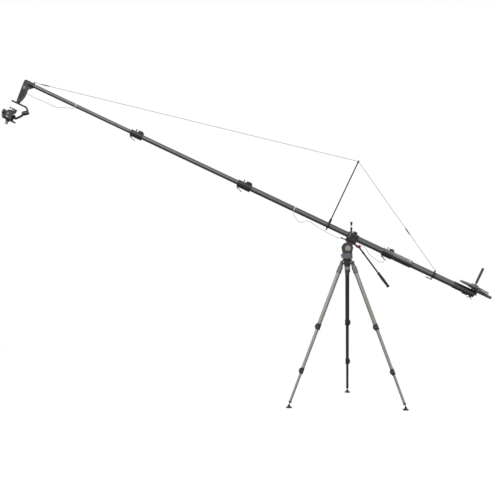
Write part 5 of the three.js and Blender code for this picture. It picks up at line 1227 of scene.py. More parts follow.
pad_outline = inset(PAD_OUTLINE, PAD_INSET)
piece("handle_grip", "boom_front", black_moulding, GIMBAL, [
    side_plate(GRIP_OUTLINE, -GRIP_HALF, GRIP_HALF, 6.0), side_plate(LID_OUTLINE, -LID_HALF, LID_HALF, 1.5),
], "gimbal_handle")
piece("handle_pads", "boom_front", soft_rubber, GIMBAL, [
    side_plate(pad_outline, -GRIP_HALF - PAD_STAND, -GRIP_HALF + 3),
    side_plate(pad_outline, GRIP_HALF - 3, GRIP_HALF + PAD_STAND)])
piece("handle_panel", "boom_front", grey_satin, GIMBAL, [
    block((PANEL_FRONT, -GRIP_HALF - 1.2, PANEL_BOTTOM), (PANEL_REAR, -GRIP_HALF + 2, PANEL_TOP), 1.2),
    *[bar(2.6, -GRIP_HALF - 2.0, -GRIP_HALF, "y", (x, 0, PANEL_BOTTOM + 8), sides=20)
      for x in PANEL_BUTTONS]])
motor_seam = (MOTOR_BOTTOM + 10, MOTOR_BOTTOM + 14, 0.8, 1)
piece("pan_motor_can", "boom_front", black_casting, GIMBAL, [turned([
    (0, MOTOR_BOTTOM), *barrel(MOTOR_RADIUS, MOTOR_BOTTOM, MOTOR_TOP, 1, [motor_seam], 2), (0, MOTOR_TOP)])])

# Pan arm
# A flat aluminium arm turns below the pan motor. It has a short tail with a balance slot, and a
# bend that runs down to the roll motor's can.
ARM_TOP, ARM_BOTTOM = -228.3, -245.3
ARM_HUB_TOP = -226.3
ARM_HALF_WIDTH = 13
ARM_TAIL, ARM_REACH = -68, 92
ARM_BEND = ((112, 0, -246.8), (126, 0, -268.8))
ARM_CORNER = 2.0
CENTRE_DEPTH = 383
ROLL_ANGLE = 36.9
ROLL_RADIUS, ROLL_HALF, ROLL_DISTANCE = 23.5, 31.5, 151

CENTRE = GIMBAL @ Matrix.Translation((0, 0, -CENTRE_DEPTH))
ROLL_TURN = Matrix.Rotation(-radians(ROLL_ANGLE), 4, "Y")
ROLL = CENTRE @ ROLL_TURN
roll_x, roll_z = polar(ROLL_DISTANCE, ROLL_ANGLE, (0, -CENTRE_DEPTH))
arm_level = (ARM_TOP + ARM_BOTTOM) / 2


def curved(points, steps):
    """A smooth run of places through the points, with so many on the longest stretch."""
    longest = max((Vector(b) - Vector(a)).length for a, b in zip(points, points[1:]))
    return smooth_route(points, longest / steps)


def rounded_section(width, height, radius):
    """A section for a swept arm, with its corners rounded."""
    section = []
    for a, b, start in ((1, -1, -90), (1, 1, 0), (-1, 1, 90), (-1, -1, 180)):
        section += arc(radius, start, start + 90, 3, (a * (width / 2 - radius), b * (height / 2 - radius)))
    return section


arm_route = [
    (ARM_REACH - 12, 0, arm_level), (ARM_REACH, 0, arm_level), *ARM_BEND, (roll_x, 0, roll_z)]
roll_can = turned([
    (0, -ROLL_HALF), *barrel(ROLL_RADIUS, -ROLL_HALF, ROLL_HALF, 2,
                             [(-ROLL_HALF + 9, ROLL_HALF - 14, 1, 1)], 3),
    (8, ROLL_HALF), (7, ROLL_HALF - 1.5), (0, ROLL_HALF - 1.5)], "x", 64, (ROLL_DISTANCE, 0, 0))
arm_forms = [
    bar(MOTOR_RADIUS, ARM_BOTTOM, ARM_HUB_TOP, chamfer=1.0, sides=56),
    block((ARM_TAIL, -ARM_HALF_WIDTH, ARM_BOTTOM), (ARM_REACH, ARM_HALF_WIDTH, ARM_TOP), ARM_CORNER),
    swept(rounded_section(ARM_HALF_WIDTH * 2, ARM_TOP - ARM_BOTTOM, ARM_CORNER), curved(arm_route, 6)),
]
slot = block((ARM_TAIL + 8, -3, ARM_BOTTOM - 0.3), (-MOTOR_RADIUS - 6, 3, ARM_TOP + 0.3), 0)
# The grey strip along the near side of the roll motor's can is a painted highlight.
band = block((ROLL_DISTANCE - 26, -ROLL_RADIUS - 0.4, -2), (ROLL_DISTANCE + 24, -ROLL_RADIUS + 3, 3), 0.5)
piece("pan_arm_bar", "pan_arm", black_casting, UNTURNED,
      [form.at(GIMBAL) for form in arm_forms] + [roll_can.at(ROLL)], "pan_arm")
piece("pan_arm_slot_and_painted_highlight", "pan_arm", grey_satin, UNTURNED, [slot.at(GIMBAL), band.at(ROLL)])
ribs("roll_motor_fins", "pan_arm", black_casting, ROLL, (ROLL_DISTANCE - 3, 0, 0), "x", 28,
     ROLL_RADIUS - 1.0, (1.6, 1.5, 36))

# Roll arm
# The roll arm bolts on the roll motor's turning face, and sweeps down and round the far side of
# the camera to the tilt motor, a short finned can on the tilt axis.
DISC_RADIUS, DISC_THICKNESS = 20, 8
STRUT_SECTION = (18, 20, 3.0)
STRUT_PLACES = ((90, 34, -16), (62, 59, -18), (14, 66, -22))
STRUT_UP = (0.3, -1, 0.2)
TILT_RADIUS, TILT_NEAR, TILT_FAR = 23, 49.8, 77.8

roll_face = ROLL_DISTANCE - ROLL_HALF - 0.3
disc_back = roll_face - DISC_THICKNESS
roll_disc = turned([
    (0, disc_back), *barrel(DISC_RADIUS, disc_back, roll_face, 2, last=0.5), (0, roll_face)], "x", 56)
strut_places = [Vector((roll_face - DISC_THICKNESS / 2, 0, -10)), *[Vector(place) for place in STRUT_PLACES]]
strut_route = [ROLL_TURN @ place for place in strut_places] + [Vector((0, STRUT_PLACES[2][1], 0))]
strut = swept(rounded_section(*STRUT_SECTION), curved(strut_route, 8), tuple(ROLL_TURN @ Vector(STRUT_UP)))
tilt_can = turned([
    (0, TILT_NEAR), *barrel(TILT_RADIUS, TILT_NEAR, TILT_FAR, 1, [(TILT_NEAR + 7, TILT_FAR - 6, 1, 1)], 2),
    (7, TILT_FAR), (6, TILT_FAR - 1.2), (0, TILT_FAR - 1.2)], "y", 64)
piece("roll_arm_strut", "roll_arm", black_casting, UNTURNED,
      [roll_disc.at(ROLL), strut.at(CENTRE), tilt_can.at(CENTRE)], "roll_arm")
ribs("tilt_motor_fins", "roll_arm", black_casting, CENTRE, (0, (TILT_NEAR + TILT_FAR) / 2 + 0.5, 0), "y", 26,
     TILT_RADIUS - 1.0, (1.6, 1.5, 12))

# Camera cradle
# An L-shaped cradle of black aluminium holds the camera by a dovetail plate. A round boss below
# carries a pale clamp knob with a scalloped edge.
SIDE_NEAR, SIDE_FAR = 42.5, 49.5
CRADLE_HALF = 20
PLATE_START, TAIL_START, TAIL_END = -86, 35, 63
CRADLE_TOP, CRADLE_BOTTOM = -42, -60
WIDE_HALF, TAIL_HALF = 18, 12
CRADLE_BOSS_RADIUS, CRADLE_BOSS_FOOT = 22, -73
CRADLE_KNOB_RADIUS, CRADLE_KNOB_FOOT, CRADLE_KNOB_AT = 16, -103, -21

pale_metal = metal_skin(
    "pale_metal", "pale_metal", (0.24, 0.25, 0.265), (0.38, 0.39, 0.41), 0.42, 0.45, grain=1500)
piece("cradle_frame", "camera", black_casting, CENTRE, [
    bar(CRADLE_HALF, SIDE_NEAR, SIDE_FAR, "y", chamfer=1.2, sides=56),
    block((-CRADLE_HALF, SIDE_NEAR, CRADLE_BOTTOM), (CRADLE_HALF, SIDE_FAR, 0), 1.5),
    block((-CRADLE_HALF, 0, CRADLE_BOTTOM), (CRADLE_HALF, SIDE_FAR, CRADLE_TOP), 1.5),
    block((PLATE_START, -WIDE_HALF, CRADLE_BOTTOM), (TAIL_START, WIDE_HALF, CRADLE_TOP - 7), 1.5),
    block((PLATE_START + 4, -WIDE_HALF + 5, CRADLE_TOP - 9), (TAIL_START, WIDE_HALF - 5, CRADLE_TOP)),
    block((TAIL_START - 4, -TAIL_HALF, CRADLE_BOTTOM), (TAIL_END, TAIL_HALF, CRADLE_TOP), 2.0),
    bar(CRADLE_BOSS_RADIUS, CRADLE_BOSS_FOOT, CRADLE_BOTTOM + 4, "z", (CRADLE_KNOB_AT, 0, 0), 1.5, 56),
], "camera_cradle")
cradle_knob = turned([
    (0, CRADLE_KNOB_FOOT), (CRADLE_KNOB_RADIUS - 3, CRADLE_KNOB_FOOT),
    (CRADLE_KNOB_RADIUS, CRADLE_KNOB_FOOT + 2.5),
    (CRADLE_KNOB_RADIUS, CRADLE_KNOB_FOOT + 17), (CRADLE_KNOB_RADIUS - 2, CRADLE_KNOB_FOOT + 19),
    (CRADLE_KNOB_RADIUS - 6, CRADLE_BOSS_FOOT), (0, CRADLE_BOSS_FOOT + 1)], "z", 56, (CRADLE_KNOB_AT, 0, 0))
piece("cradle_knob", "camera", pale_metal, CENTRE, [cradle_knob])
ribs("cradle_knob_ribs", "camera", pale_metal, CENTRE, (CRADLE_KNOB_AT, 0, CRADLE_KNOB_FOOT + 9.5), "z", 24,
     CRADLE_KNOB_RADIUS - 0.3, (1.2, 1.6, 12))

# Camera
# A small mirrorless camera with a prism-shaped finder, a lens with ribbed rings, a hood and a focus
# motor below it, and a wireless transmitter in the shoe, whose antenna ends in a round tip.
BODY_FRONT, BODY_REAR, BODY_BOTTOM, BODY_TOP, BODY_HALF = -60, 7, -41.7, 38, 41
FINDER_REAR, FINDER_TOP, FINDER_HALF = -27, 53, 18
LENS_RADIUS, LENS_HEIGHT = 24, 8
HOOD_RADIUS, HOOD_FRONT, HOOD_REAR = 26.5, -108, -92
GLASS_RADIUS = 19
BOX_FRONT, BOX_REAR, BOX_TOP, BOX_HALF = -25, 21, 80, 24
ANTENNA_RADIUS, ANTENNA_HEIGHT, ANTENNA_END, ANTENNA_BALL = 3.5, 73, -52, 9
TOP_DIALS = ((8, 7, -18, -28), (6.5, 5, -38, -30), (9, 6, -24, 28))
SIDE_DIAL_RADIUS = 8.5
FOCUS_HALF_DEPTH = 18

glass = Finish("lens_glass", "camera", roughness=0.05, coat=1.0)
glass.wear(
    glass.mix((0.004, 0.005, 0.01), (0.014, 0.012, 0.03), glass.noise(30)), height=glass.noise(300),
    depth=0.00001)
camera_skin = metal_skin(
    "camera_skin", "camera", (0.014, 0.014, 0.015), (0.05, 0.05, 0.052), 0.58, 0.05, grain=3200,
    depth=0.0003)
piece("camera_body", "camera", camera_skin, CENTRE, [
    side_plate([(BODY_FRONT, BODY_BOTTOM), (BODY_REAR, BODY_BOTTOM), (BODY_REAR, BODY_TOP - 3),
                (BODY_REAR - 4, BODY_TOP), (BODY_FRONT + 9, BODY_TOP), (BODY_FRONT, BODY_TOP - 8)],
               -BODY_HALF, BODY_HALF, 3.0),
    side_plate([(BODY_FRONT, BODY_TOP - 12), (FINDER_REAR, BODY_TOP - 6), (FINDER_REAR, FINDER_TOP - 3),
                (FINDER_REAR - 5, FINDER_TOP), (BODY_FRONT + 10, FINDER_TOP - 2),
                (BODY_FRONT, BODY_TOP + 2)],
               -FINDER_HALF, FINDER_HALF, 2.0),
    block((BODY_FRONT - 7, -BODY_HALF + 2, BODY_BOTTOM + 5),
          (BODY_FRONT + 12, -BODY_HALF + 22, BODY_TOP - 7), 4.0),
    *[bar(radius, BODY_TOP - 1, BODY_TOP + height, "z", (x, y, 0), 0.8, 36)
      for radius, height, x, y in TOP_DIALS],
], "camera")
piece("camera_lens", "camera", black_moulding, CENTRE, [turned([
    (0, HOOD_FRONT + 14), (HOOD_RADIUS - 7, HOOD_FRONT + 12), (HOOD_RADIUS - 4, HOOD_FRONT),
    (HOOD_RADIUS, HOOD_FRONT), (HOOD_RADIUS, HOOD_REAR), (LENS_RADIUS, HOOD_REAR + 1),
    (LENS_RADIUS, HOOD_REAR + 6), (LENS_RADIUS - 1.2, HOOD_REAR + 7), (LENS_RADIUS - 1.2, HOOD_REAR + 20),
    (LENS_RADIUS, HOOD_REAR + 21), (LENS_RADIUS, HOOD_REAR + 27), (LENS_RADIUS - 3, HOOD_REAR + 30),
    (LENS_RADIUS - 3, BODY_FRONT + 3), (0, BODY_FRONT + 3)], "x", 72, (0, 0, LENS_HEIGHT))])
piece("camera_front_glass", "camera", glass, CENTRE, [turned([
    (0, HOOD_FRONT + 11), (GLASS_RADIUS / 2, HOOD_FRONT + 11.8), (GLASS_RADIUS, HOOD_FRONT + 14),
    (GLASS_RADIUS, HOOD_FRONT + 16), (0, HOOD_FRONT + 16)], "x", 56, (0, 0, LENS_HEIGHT))])
piece("camera_transmitter", "camera", black_moulding, CENTRE, [
    block((BOX_FRONT, -BOX_HALF, BODY_TOP - 1), (BOX_REAR, BOX_HALF, BOX_TOP), 3.0),
    block((BOX_FRONT + 6, -BOX_HALF - 0.8, BODY_TOP + 10), (BOX_REAR - 6, BOX_HALF + 0.8, BOX_TOP - 8))])
piece("camera_antenna", "camera", black_moulding, CENTRE, [
    bar(ANTENNA_RADIUS, ANTENNA_END, BOX_FRONT + 4, "x", (0, 0, ANTENNA_HEIGHT), sides=24),
    ball(ANTENNA_BALL, (ANTENNA_END, 0, ANTENNA_HEIGHT))])
ribs("lens_ring_ribs", "camera", soft_rubber, CENTRE, (HOOD_REAR + 13.5, 0, LENS_HEIGHT), "x", 64,
     LENS_RADIUS - 1.0, (1.2, 1.6, 12))
piece("focus_motor", "camera", black_moulding, CENTRE, [
    block((BODY_FRONT - 38, -FOCUS_HALF_DEPTH - 4, BODY_BOTTOM - 2),
          (BODY_FRONT + 1, FOCUS_HALF_DEPTH - 4, BODY_BOTTOM + 25), 4.0),
    bar(15, -30, -22, "y", (BODY_FRONT - 20, 0, BODY_BOTTOM + 12), 1.5, 36)])
piece("camera_screen", "camera", glass, CENTRE, [
    block((BODY_REAR - 0.6, -30, -34), (BODY_REAR + 1.2, 22, 26), 0.6)])
piece("camera_mount_ring", "camera", pale_metal, CENTRE, [
    pipe(LENS_RADIUS + 1, LENS_RADIUS - 5, BODY_FRONT - 10, BODY_FRONT + 2, "x", (0, 0, LENS_HEIGHT))])
piece("camera_side_plates", "camera", pale_metal, CENTRE, [
    bar(SIDE_DIAL_RADIUS, -BODY_HALF - 1.6, -BODY_HALF + 2, "y", (BODY_FRONT + 22, 0, BODY_BOTTOM + 51),
        0.8, 36),
    block((BODY_FRONT + 14, -BODY_HALF - 0.8, BODY_BOTTOM + 9),
          (BODY_FRONT + 40, -BODY_HALF + 2, BODY_BOTTOM + 23)),
    block((BOX_FRONT + 8, -BOX_HALF - 1.2, BODY_TOP + 14), (BOX_FRONT + 24, -BOX_HALF + 2, BODY_TOP + 28),
          0.8)])
screws("camera_dial_caps", "camera", CENTRE, 2, (-18, -28, BODY_TOP + 7.2), (-20, -2, -2), 4.5, 0.8, 24,
       UPRIGHT, bright_steel)

# Head base
# A pale anodised half ball stands in the tripod's bowl under a thick pan base, which has a
# degree ring round it. A round spirit level is let into its rim.
BALL_RADIUS, BALL_HEIGHT = 37.5, 1524.7
BASE_RADIUS, BASE_TOP = 57.5, 1548.7
STUD_RADIUS, STUD_FOOT = 7, 1370
DEGREE_MARKS = 72
LEVEL_TURN = 70
LEVEL_RADIUS, LEVEL_HEIGHT = 6.5, 1534.2

base_anodised = metal_skin(
    "base_anodised", "pale_metal", (0.11, 0.113, 0.12), (0.21, 0.215, 0.225), 0.42, 0.4, grain=1500)
base = turned([
    (0, BALL_HEIGHT - BALL_RADIUS), *arc(BALL_RADIUS, -90, 0, 10, (0, BALL_HEIGHT))[1:],
    (BASE_RADIUS - 3, BALL_HEIGHT), (BASE_RADIUS, BALL_HEIGHT + 3), (BASE_RADIUS, BASE_TOP - 9),
    (BASE_RADIUS - 1.2, BASE_TOP - 8), (BASE_RADIUS - 1.2, BASE_TOP - 1.5), (BASE_RADIUS - 2.5, BASE_TOP),
    (0, BASE_TOP)], "z", 96)
piece("pan_base", "head_base", base_anodised, STAND,
      [base, bar(STUD_RADIUS, STUD_FOOT, BALL_HEIGHT - BALL_RADIUS + 4, sides=32)], "head_base")
ribs("degree_marks", "head_base", black_moulding, STAND, (0, 0, BASE_TOP - 4.6), "z", DEGREE_MARKS,
     BASE_RADIUS - 1.15, (0.3, 0.7, 4.4))
LEVEL = STAND @ Matrix.Rotation(radians(LEVEL_TURN), 4, "Z")
level_glass = Finish("level_glass", "pale_metal", roughness=0.12, coat=0.8)
level_glass.wear(level_glass.mix((0.35, 0.5, 0.12), (0.5, 0.66, 0.2), level_glass.noise(120)))
piece("level_cup", "head_base", black_moulding, LEVEL, [
    pipe(LEVEL_RADIUS + 2.5, LEVEL_RADIUS, BASE_RADIUS - 4, BASE_RADIUS + 1.2, "x", (0, 0, LEVEL_HEIGHT),
         0.5, 32)])
piece("level_bubble", "head_base", level_glass, LEVEL, [
    bar(LEVEL_RADIUS, BASE_RADIUS - 4, BASE_RADIUS + 0.6, "x", (0, 0, LEVEL_HEIGHT), 0.4, 32)])

# Pan housing
# A dark cast housing turns on the base. Two round cheeks rise from it to carry the tilt axle,
# with a bolted cap on the far one, and the pan lock's short lever hangs at its front.
HOUSING_RADIUS = 55
HOUSING_BOTTOM, HOUSING_TOP = 1549, 1582
CHEEK_RADIUS = 57
CHEEK_INSIDE, CHEEK_OUTSIDE = 36, 49
TILT_HEIGHT = TILT_POINT.z * 1000
PAN_LOCK_HEIGHT = 1562
PAN_LOCK_TURN = 30
PAN_LOCK_PIN_RADIUS, PAN_LOCK_PIN_REACH = 4, 70
PAN_LOCK_RADIUS, PAN_LOCK_NEAR, PAN_LOCK_FAR = 8, -57.8, -66.8
PAN_LOCK_LENGTH, PAN_LOCK_HALF = 34, 4.5

head_casting = metal_skin(
    "head_casting", "cast_metal", (0.028, 0.033, 0.028), (0.065, 0.073, 0.064), 0.46, 0.3, grain=900,
    depth=0.0003)
housing_seam = (HOUSING_BOTTOM + 7, HOUSING_BOTTOM + 11, 1.5, 1)
piece("housing_disc", "pan", base_anodised, STAND, [turned([
    (0, HOUSING_BOTTOM), *barrel(HOUSING_RADIUS, HOUSING_BOTTOM, HOUSING_TOP, 1.5, [housing_seam], 4),
    (0, HOUSING_TOP)], "z", 80)])
cheek_outline = [
    (-HOUSING_RADIUS * 0.8, HOUSING_TOP - 6), (HOUSING_RADIUS * 0.8, HOUSING_TOP - 6),
    *arc(CHEEK_RADIUS, 0, 180, 24, (0, TILT_HEIGHT))]
piece("housing_casting", "pan", head_casting, STAND, [
    side_plate(cheek_outline, -CHEEK_OUTSIDE, -CHEEK_INSIDE, 2.0),
    side_plate(cheek_outline, CHEEK_INSIDE, CHEEK_OUTSIDE, 2.0),
    bar(PAN_LOCK_PIN_RADIUS, -PAN_LOCK_PIN_REACH, -HOUSING_RADIUS + 3, "x", (0, 0, PAN_LOCK_HEIGHT),
        sides=24),
    turned([(0, 0), (30, 0), (29, 2), (24, 2.5), (23, 1.5), (0, 1.5)], "y", 64,
           (0, CHEEK_OUTSIDE, TILT_HEIGHT)),
], "pan_housing")
for side, name in ((-1, "left"), (1, "right")):
    screws(f"housing_screws_{name}", "pan", STAND, 2, (-30, side * (CHEEK_OUTSIDE + 0.3), HOUSING_TOP + 4),
           (60, 0, 0), 3.2)
PAN_LOCK = (STAND @ Matrix.Translation((0, 0, PAN_LOCK_HEIGHT))
            @ Matrix.Rotation(radians(PAN_LOCK_TURN), 4, "X"))
lock_bore = PAN_LOCK_PIN_RADIUS + SLIDE_FIT
piece("pan_lock_handle", "pan_lock", black_moulding, PAN_LOCK, [
    turned([(lock_bore, PAN_LOCK_FAR), *barrel(PAN_LOCK_RADIUS, PAN_LOCK_FAR, PAN_LOCK_NEAR, 1, last=0.6),
            (lock_bore, PAN_LOCK_NEAR)], "x", 40),
    block((PAN_LOCK_FAR + 1.5, -PAN_LOCK_HALF, -PAN_LOCK_LENGTH),
          (PAN_LOCK_NEAR - 1.5, PAN_LOCK_HALF, -PAN_LOCK_RADIUS + 3), 2.6),
], "pan_lock_lever")

# Tilt drum
# The tilt drum fills the space between the cheeks and carries the platform, whose two rails grip
# the balance plate. A shallow groove runs round its middle.
DRUM_RADIUS, DRUM_HALF_WIDTH = 50, 35
NECK_HALF, NECK_BOTTOM, NECK_TOP = 34, 36, 59
PLATFORM_FRONT, PLATFORM_REAR, PLATFORM_BOTTOM, PLATFORM_TOP = -46, 56, 59, 66.5
PLATFORM_HALF_WIDTH = 36
RAIL_INSIDE, RAIL_TOP = 28, 75.5
AXLE_RADIUS = 12
AXLE_TIP_RADIUS, AXLE_TIP_REACH = 7, 56.3

rail_outline = [
    (PLATFORM_FRONT, PLATFORM_BOTTOM + 3), (PLATFORM_REAR, PLATFORM_BOTTOM + 3),
    (PLATFORM_REAR, RAIL_TOP - 4),
    (PLATFORM_REAR - 6, RAIL_TOP), (PLATFORM_FRONT + 6, RAIL_TOP), (PLATFORM_FRONT, RAIL_TOP - 4)]
piece("drum_casting", "tilt", black_casting, TILTED, [
    turned([(0, -DRUM_HALF_WIDTH),
            *barrel(DRUM_RADIUS, -DRUM_HALF_WIDTH, DRUM_HALF_WIDTH, 3, [(-10, 10, 2, 1)]),
            (0, DRUM_HALF_WIDTH)], "y", 80),
    block((-NECK_HALF, -DRUM_HALF_WIDTH, NECK_BOTTOM), (NECK_HALF, DRUM_HALF_WIDTH, NECK_TOP), 2.0),
    block((PLATFORM_FRONT, -PLATFORM_HALF_WIDTH, PLATFORM_BOTTOM),
          (PLATFORM_REAR, PLATFORM_HALF_WIDTH, PLATFORM_TOP), 1.5),
    side_plate(rail_outline, -PLATFORM_HALF_WIDTH, -RAIL_INSIDE, 1.2),
    side_plate(rail_outline, RAIL_INSIDE, PLATFORM_HALF_WIDTH, 1.2),
    bar(AXLE_RADIUS, -CHEEK_OUTSIDE, CHEEK_OUTSIDE, "y"),
    bar(AXLE_TIP_RADIUS, -AXLE_TIP_REACH, 0, "y", sides=32),
], "tilt_drum")
screws("platform_screws", "tilt", TILTED, 3,
       (PLATFORM_FRONT + 14, -PLATFORM_HALF_WIDTH - 0.4, PLATFORM_BOTTOM + 6), (36, 0, 0), 3.0)

# Drag dial
# The dial on the near cheek sets the tilt drag. It is a cream plastic disc in a raised grey ring
# with a knurled edge, and a ring of small dots marks its settings.
DIAL_RADIUS, DIAL_RIM = 33, 5
DIAL_NEAR, DIAL_FAR = -49.3, -61.3
DIAL_DISH = 2.5

dial_cream = Finish("dial_cream", "beige", roughness=0.42, coat=0.2)
cream_mottle = dial_cream.ramp(dial_cream.noise(34, 3.0), 0.32, 0.62)
dial_cream.wear(
    dial_cream.mix((0.26, 0.235, 0.2), (0.56, 0.51, 0.45), cream_mottle),
    roughness=cream_mottle * 0.25 + 0.3, height=dial_cream.noise(1400), depth=0.0001)
face_radius, face_at = DIAL_RADIUS - DIAL_RIM, DIAL_FAR + DIAL_DISH
piece("dial_ring", "drag_dial", grey_satin, HEAD, [turned([
    (face_radius - 1, face_at + 1), (face_radius, DIAL_FAR + 0.6), (face_radius + 0.6, DIAL_FAR),
    (DIAL_RADIUS - 1, DIAL_FAR), (DIAL_RADIUS, DIAL_FAR + 1), (DIAL_RADIUS, DIAL_NEAR),
    (face_radius - 1, DIAL_NEAR)], "y", 72)])
piece("dial_face", "drag_dial", dial_cream, HEAD, [turned([
    (0, face_at - 1.2), (9, face_at - 1), (11, face_at + 0.4), (face_radius - 0.5, face_at),
    (face_radius - 0.5, DIAL_NEAR - 0.5), (0, DIAL_NEAR - 0.5)], "y", 72)], "drag_dial")
ribs("dial_knurl", "drag_dial", grey_satin, HEAD, (0, (DIAL_NEAR + DIAL_FAR) / 2, 0), "y", 48,
     DIAL_RADIUS - 0.4, (1.2, 1.8, 9))
ribs("dial_dots", "drag_dial", black_moulding, HEAD, (0, face_at, 0), "y", 12, face_radius - 6,
     (1.6, 1.6, 0.7))

# Pan bar clamp
# The pan bar's clamp on the platform's far side is red anodised aluminium with a serrated rosette,
# and its pin carries the bar. A red strip trims the platform's near edge.
CLAMP_NEAR, CLAMP_FAR = 36.3, 61.3
CLAMP_FRONT, CLAMP_REAR = 30, 128
CLAMP_BOTTOM = 50
HORN_LENGTH, HORN_HEIGHT = 24, 9
BAR_PIVOT = (116, 0, 64)
BAR_PIN_RADIUS = 6
BAR_HUB_RADIUS, BAR_HUB_NEAR, BAR_HUB_FAR = 14, 61.6, 78.6
ROSETTE_TEETH = 24

clamp_red = metal_skin("clamp_red", "red", (0.2, 0.018, 0.045), (0.4, 0.07, 0.12), 0.38, 0.3, grain=1500)
horn_top = SLIDE_TOP + HORN_HEIGHT
piece("bar_clamp_body", "tilt", clamp_red, TILTED, [
    side_plate([
        (CLAMP_FRONT, PLATFORM_TOP), (CLAMP_FRONT + 16, CLAMP_BOTTOM + 16),
        (BAR_PIVOT[0] - BAR_HUB_RADIUS, CLAMP_BOTTOM), (CLAMP_REAR - 6, CLAMP_BOTTOM),
        (CLAMP_REAR, CLAMP_BOTTOM + 6),
        (CLAMP_REAR, horn_top - 5), (CLAMP_REAR - 5, horn_top), (CLAMP_REAR - HORN_LENGTH, horn_top),
        (CLAMP_REAR - HORN_LENGTH - 3, SLIDE_TOP), (CLAMP_FRONT, SLIDE_TOP)], CLAMP_NEAR, CLAMP_FAR, 2.0),
    bar(BAR_PIN_RADIUS, CLAMP_NEAR, BAR_HUB_FAR, "y", BAR_PIVOT, sides=32),
], "pan_bar_clamp")
piece("platform_red_trim", "tilt", clamp_red, TILTED, [block(
    (PLATFORM_FRONT + 4, -PLATFORM_HALF_WIDTH - 0.8, PLATFORM_BOTTOM - 0.3),
    (PLATFORM_REAR, -PLATFORM_HALF_WIDTH + 3, PLATFORM_BOTTOM + 3.4), 0.4)])
screws("bar_clamp_screws", "tilt", TILTED, 2, (CLAMP_FRONT + 14, CLAMP_FAR + 0.3, SLIDE_TOP - 6),
       (26, 0, 0), 3.2)
screws("bar_clamp_under_screws", "tilt", TILTED, 2, (CLAMP_FRONT + 44, 49, CLAMP_BOTTOM - 0.2), (20, 0, 0),
       3.2, turn=UPRIGHT)

# Pan bar
# The pan bar is a black steel rod with a toothed hub, and a moulded foam-rubber grip that swells
# at its middle and end and has rings round it.
BAR_ANGLE = 28
BAR_RADIUS = 8.5
BAR_ROD, BAR_END = 337, 526
BAR_COLLAR_START, BAR_COLLAR_END = 64, 88
GRIP_RADIUS, GRIP_WAIST = 16.5, 13
GRIP_SWELL = 2.6
GRIP_RINGS = 15

BAR = TILTED @ Matrix.Translation(BAR_PIVOT) @ Matrix.Rotation(radians(BAR_ANGLE), 4, "Y")
bar_bore = BAR_PIN_RADIUS + SLIDE_FIT
bar_middle = (0, (BAR_HUB_NEAR + BAR_HUB_FAR) / 2, 0)
piece("bar_rod", "pan_bar", black_casting, BAR, [
    turned([(bar_bore, BAR_HUB_NEAR), *barrel(BAR_HUB_RADIUS, BAR_HUB_NEAR, BAR_HUB_FAR, 1, last=2),
            (bar_bore, BAR_HUB_FAR)], "y", 48),
    bar(BAR_RADIUS, 9, BAR_ROD + 8, "x", bar_middle),
    bar(BAR_RADIUS + 2.2, BAR_COLLAR_START, BAR_COLLAR_END, "x", bar_middle, 1.5),
], "pan_bar")
ribs("bar_rosette", "pan_bar", black_casting, BAR, (0, BAR_HUB_NEAR + 1.4, 0), "y", ROSETTE_TEETH,
     BAR_HUB_RADIUS - 2.4, (4.2, 1.3, 2.4))
grip_profile = [
    (0, BAR_ROD), (GRIP_WAIST - 2, BAR_ROD), (GRIP_WAIST, BAR_ROD + 2), (GRIP_RADIUS, BAR_ROD + 6),
    (GRIP_RADIUS, BAR_ROD + 12)]
for i in range(1, GRIP_RINGS):
    along = BAR_ROD + 14 + (BAR_END - BAR_ROD - 34) * i / GRIP_RINGS
    swell = GRIP_WAIST + GRIP_SWELL * sin(pi * i / GRIP_RINGS)
    grip_profile += [(swell, along - 3), (swell + 0.5, along - 1), (swell + 0.5, along + 1),
                     (swell, along + 3)]
grip_profile += [
    (GRIP_RADIUS, BAR_END - 14), (GRIP_RADIUS, BAR_END - 6), (GRIP_WAIST, BAR_END - 1),
    (GRIP_WAIST - 3, BAR_END), (0, BAR_END)]
piece("bar_grip", "pan_bar", soft_rubber, BAR, [turned(grip_profile, "x", 48, bar_middle)])

# Bowl knob
# The knob that pulls the half ball down into the bowl hangs under the crown. Its pale washer is
# turned aluminium, and its grip is black plastic with deep flutes.
WASHER_RADIUS = 30
WASHER_BOTTOM, WASHER_TOP = 1408.3, 1438.3
KNOB_BOTTOM = 1328.3
KNOB_TOP_RADIUS, KNOB_FOOT_RADIUS = 25, 20
KNOB_FLUTES = 12

washer_bore = STUD_RADIUS + SLIDE_FIT
washer_waist = (WASHER_BOTTOM + 12, WASHER_TOP - 10, 2, 2)
piece("knob_washer", "bowl_knob", pale_metal, STAND, [turned([
    (washer_bore, WASHER_BOTTOM), *barrel(WASHER_RADIUS, WASHER_BOTTOM, WASHER_TOP, 2, [washer_waist]),
    (washer_bore, WASHER_TOP)], "z", 72)], "bowl_knob")
piece("knob_grip", "bowl_knob", black_moulding, STAND, [turned([
    (0, KNOB_BOTTOM), (KNOB_FOOT_RADIUS - 4, KNOB_BOTTOM), (KNOB_FOOT_RADIUS, KNOB_BOTTOM + 4),
    (KNOB_TOP_RADIUS, WASHER_BOTTOM - 8), (KNOB_TOP_RADIUS - 2, WASHER_BOTTOM),
    (0, WASHER_BOTTOM)], "z", 60)])
ribs("knob_flutes", "bowl_knob", black_moulding, STAND, (0, 0, KNOB_BOTTOM + 32), "z", KNOB_FLUTES,
     KNOB_FOOT_RADIUS + 0.4, (2.4, 5.0, 54))

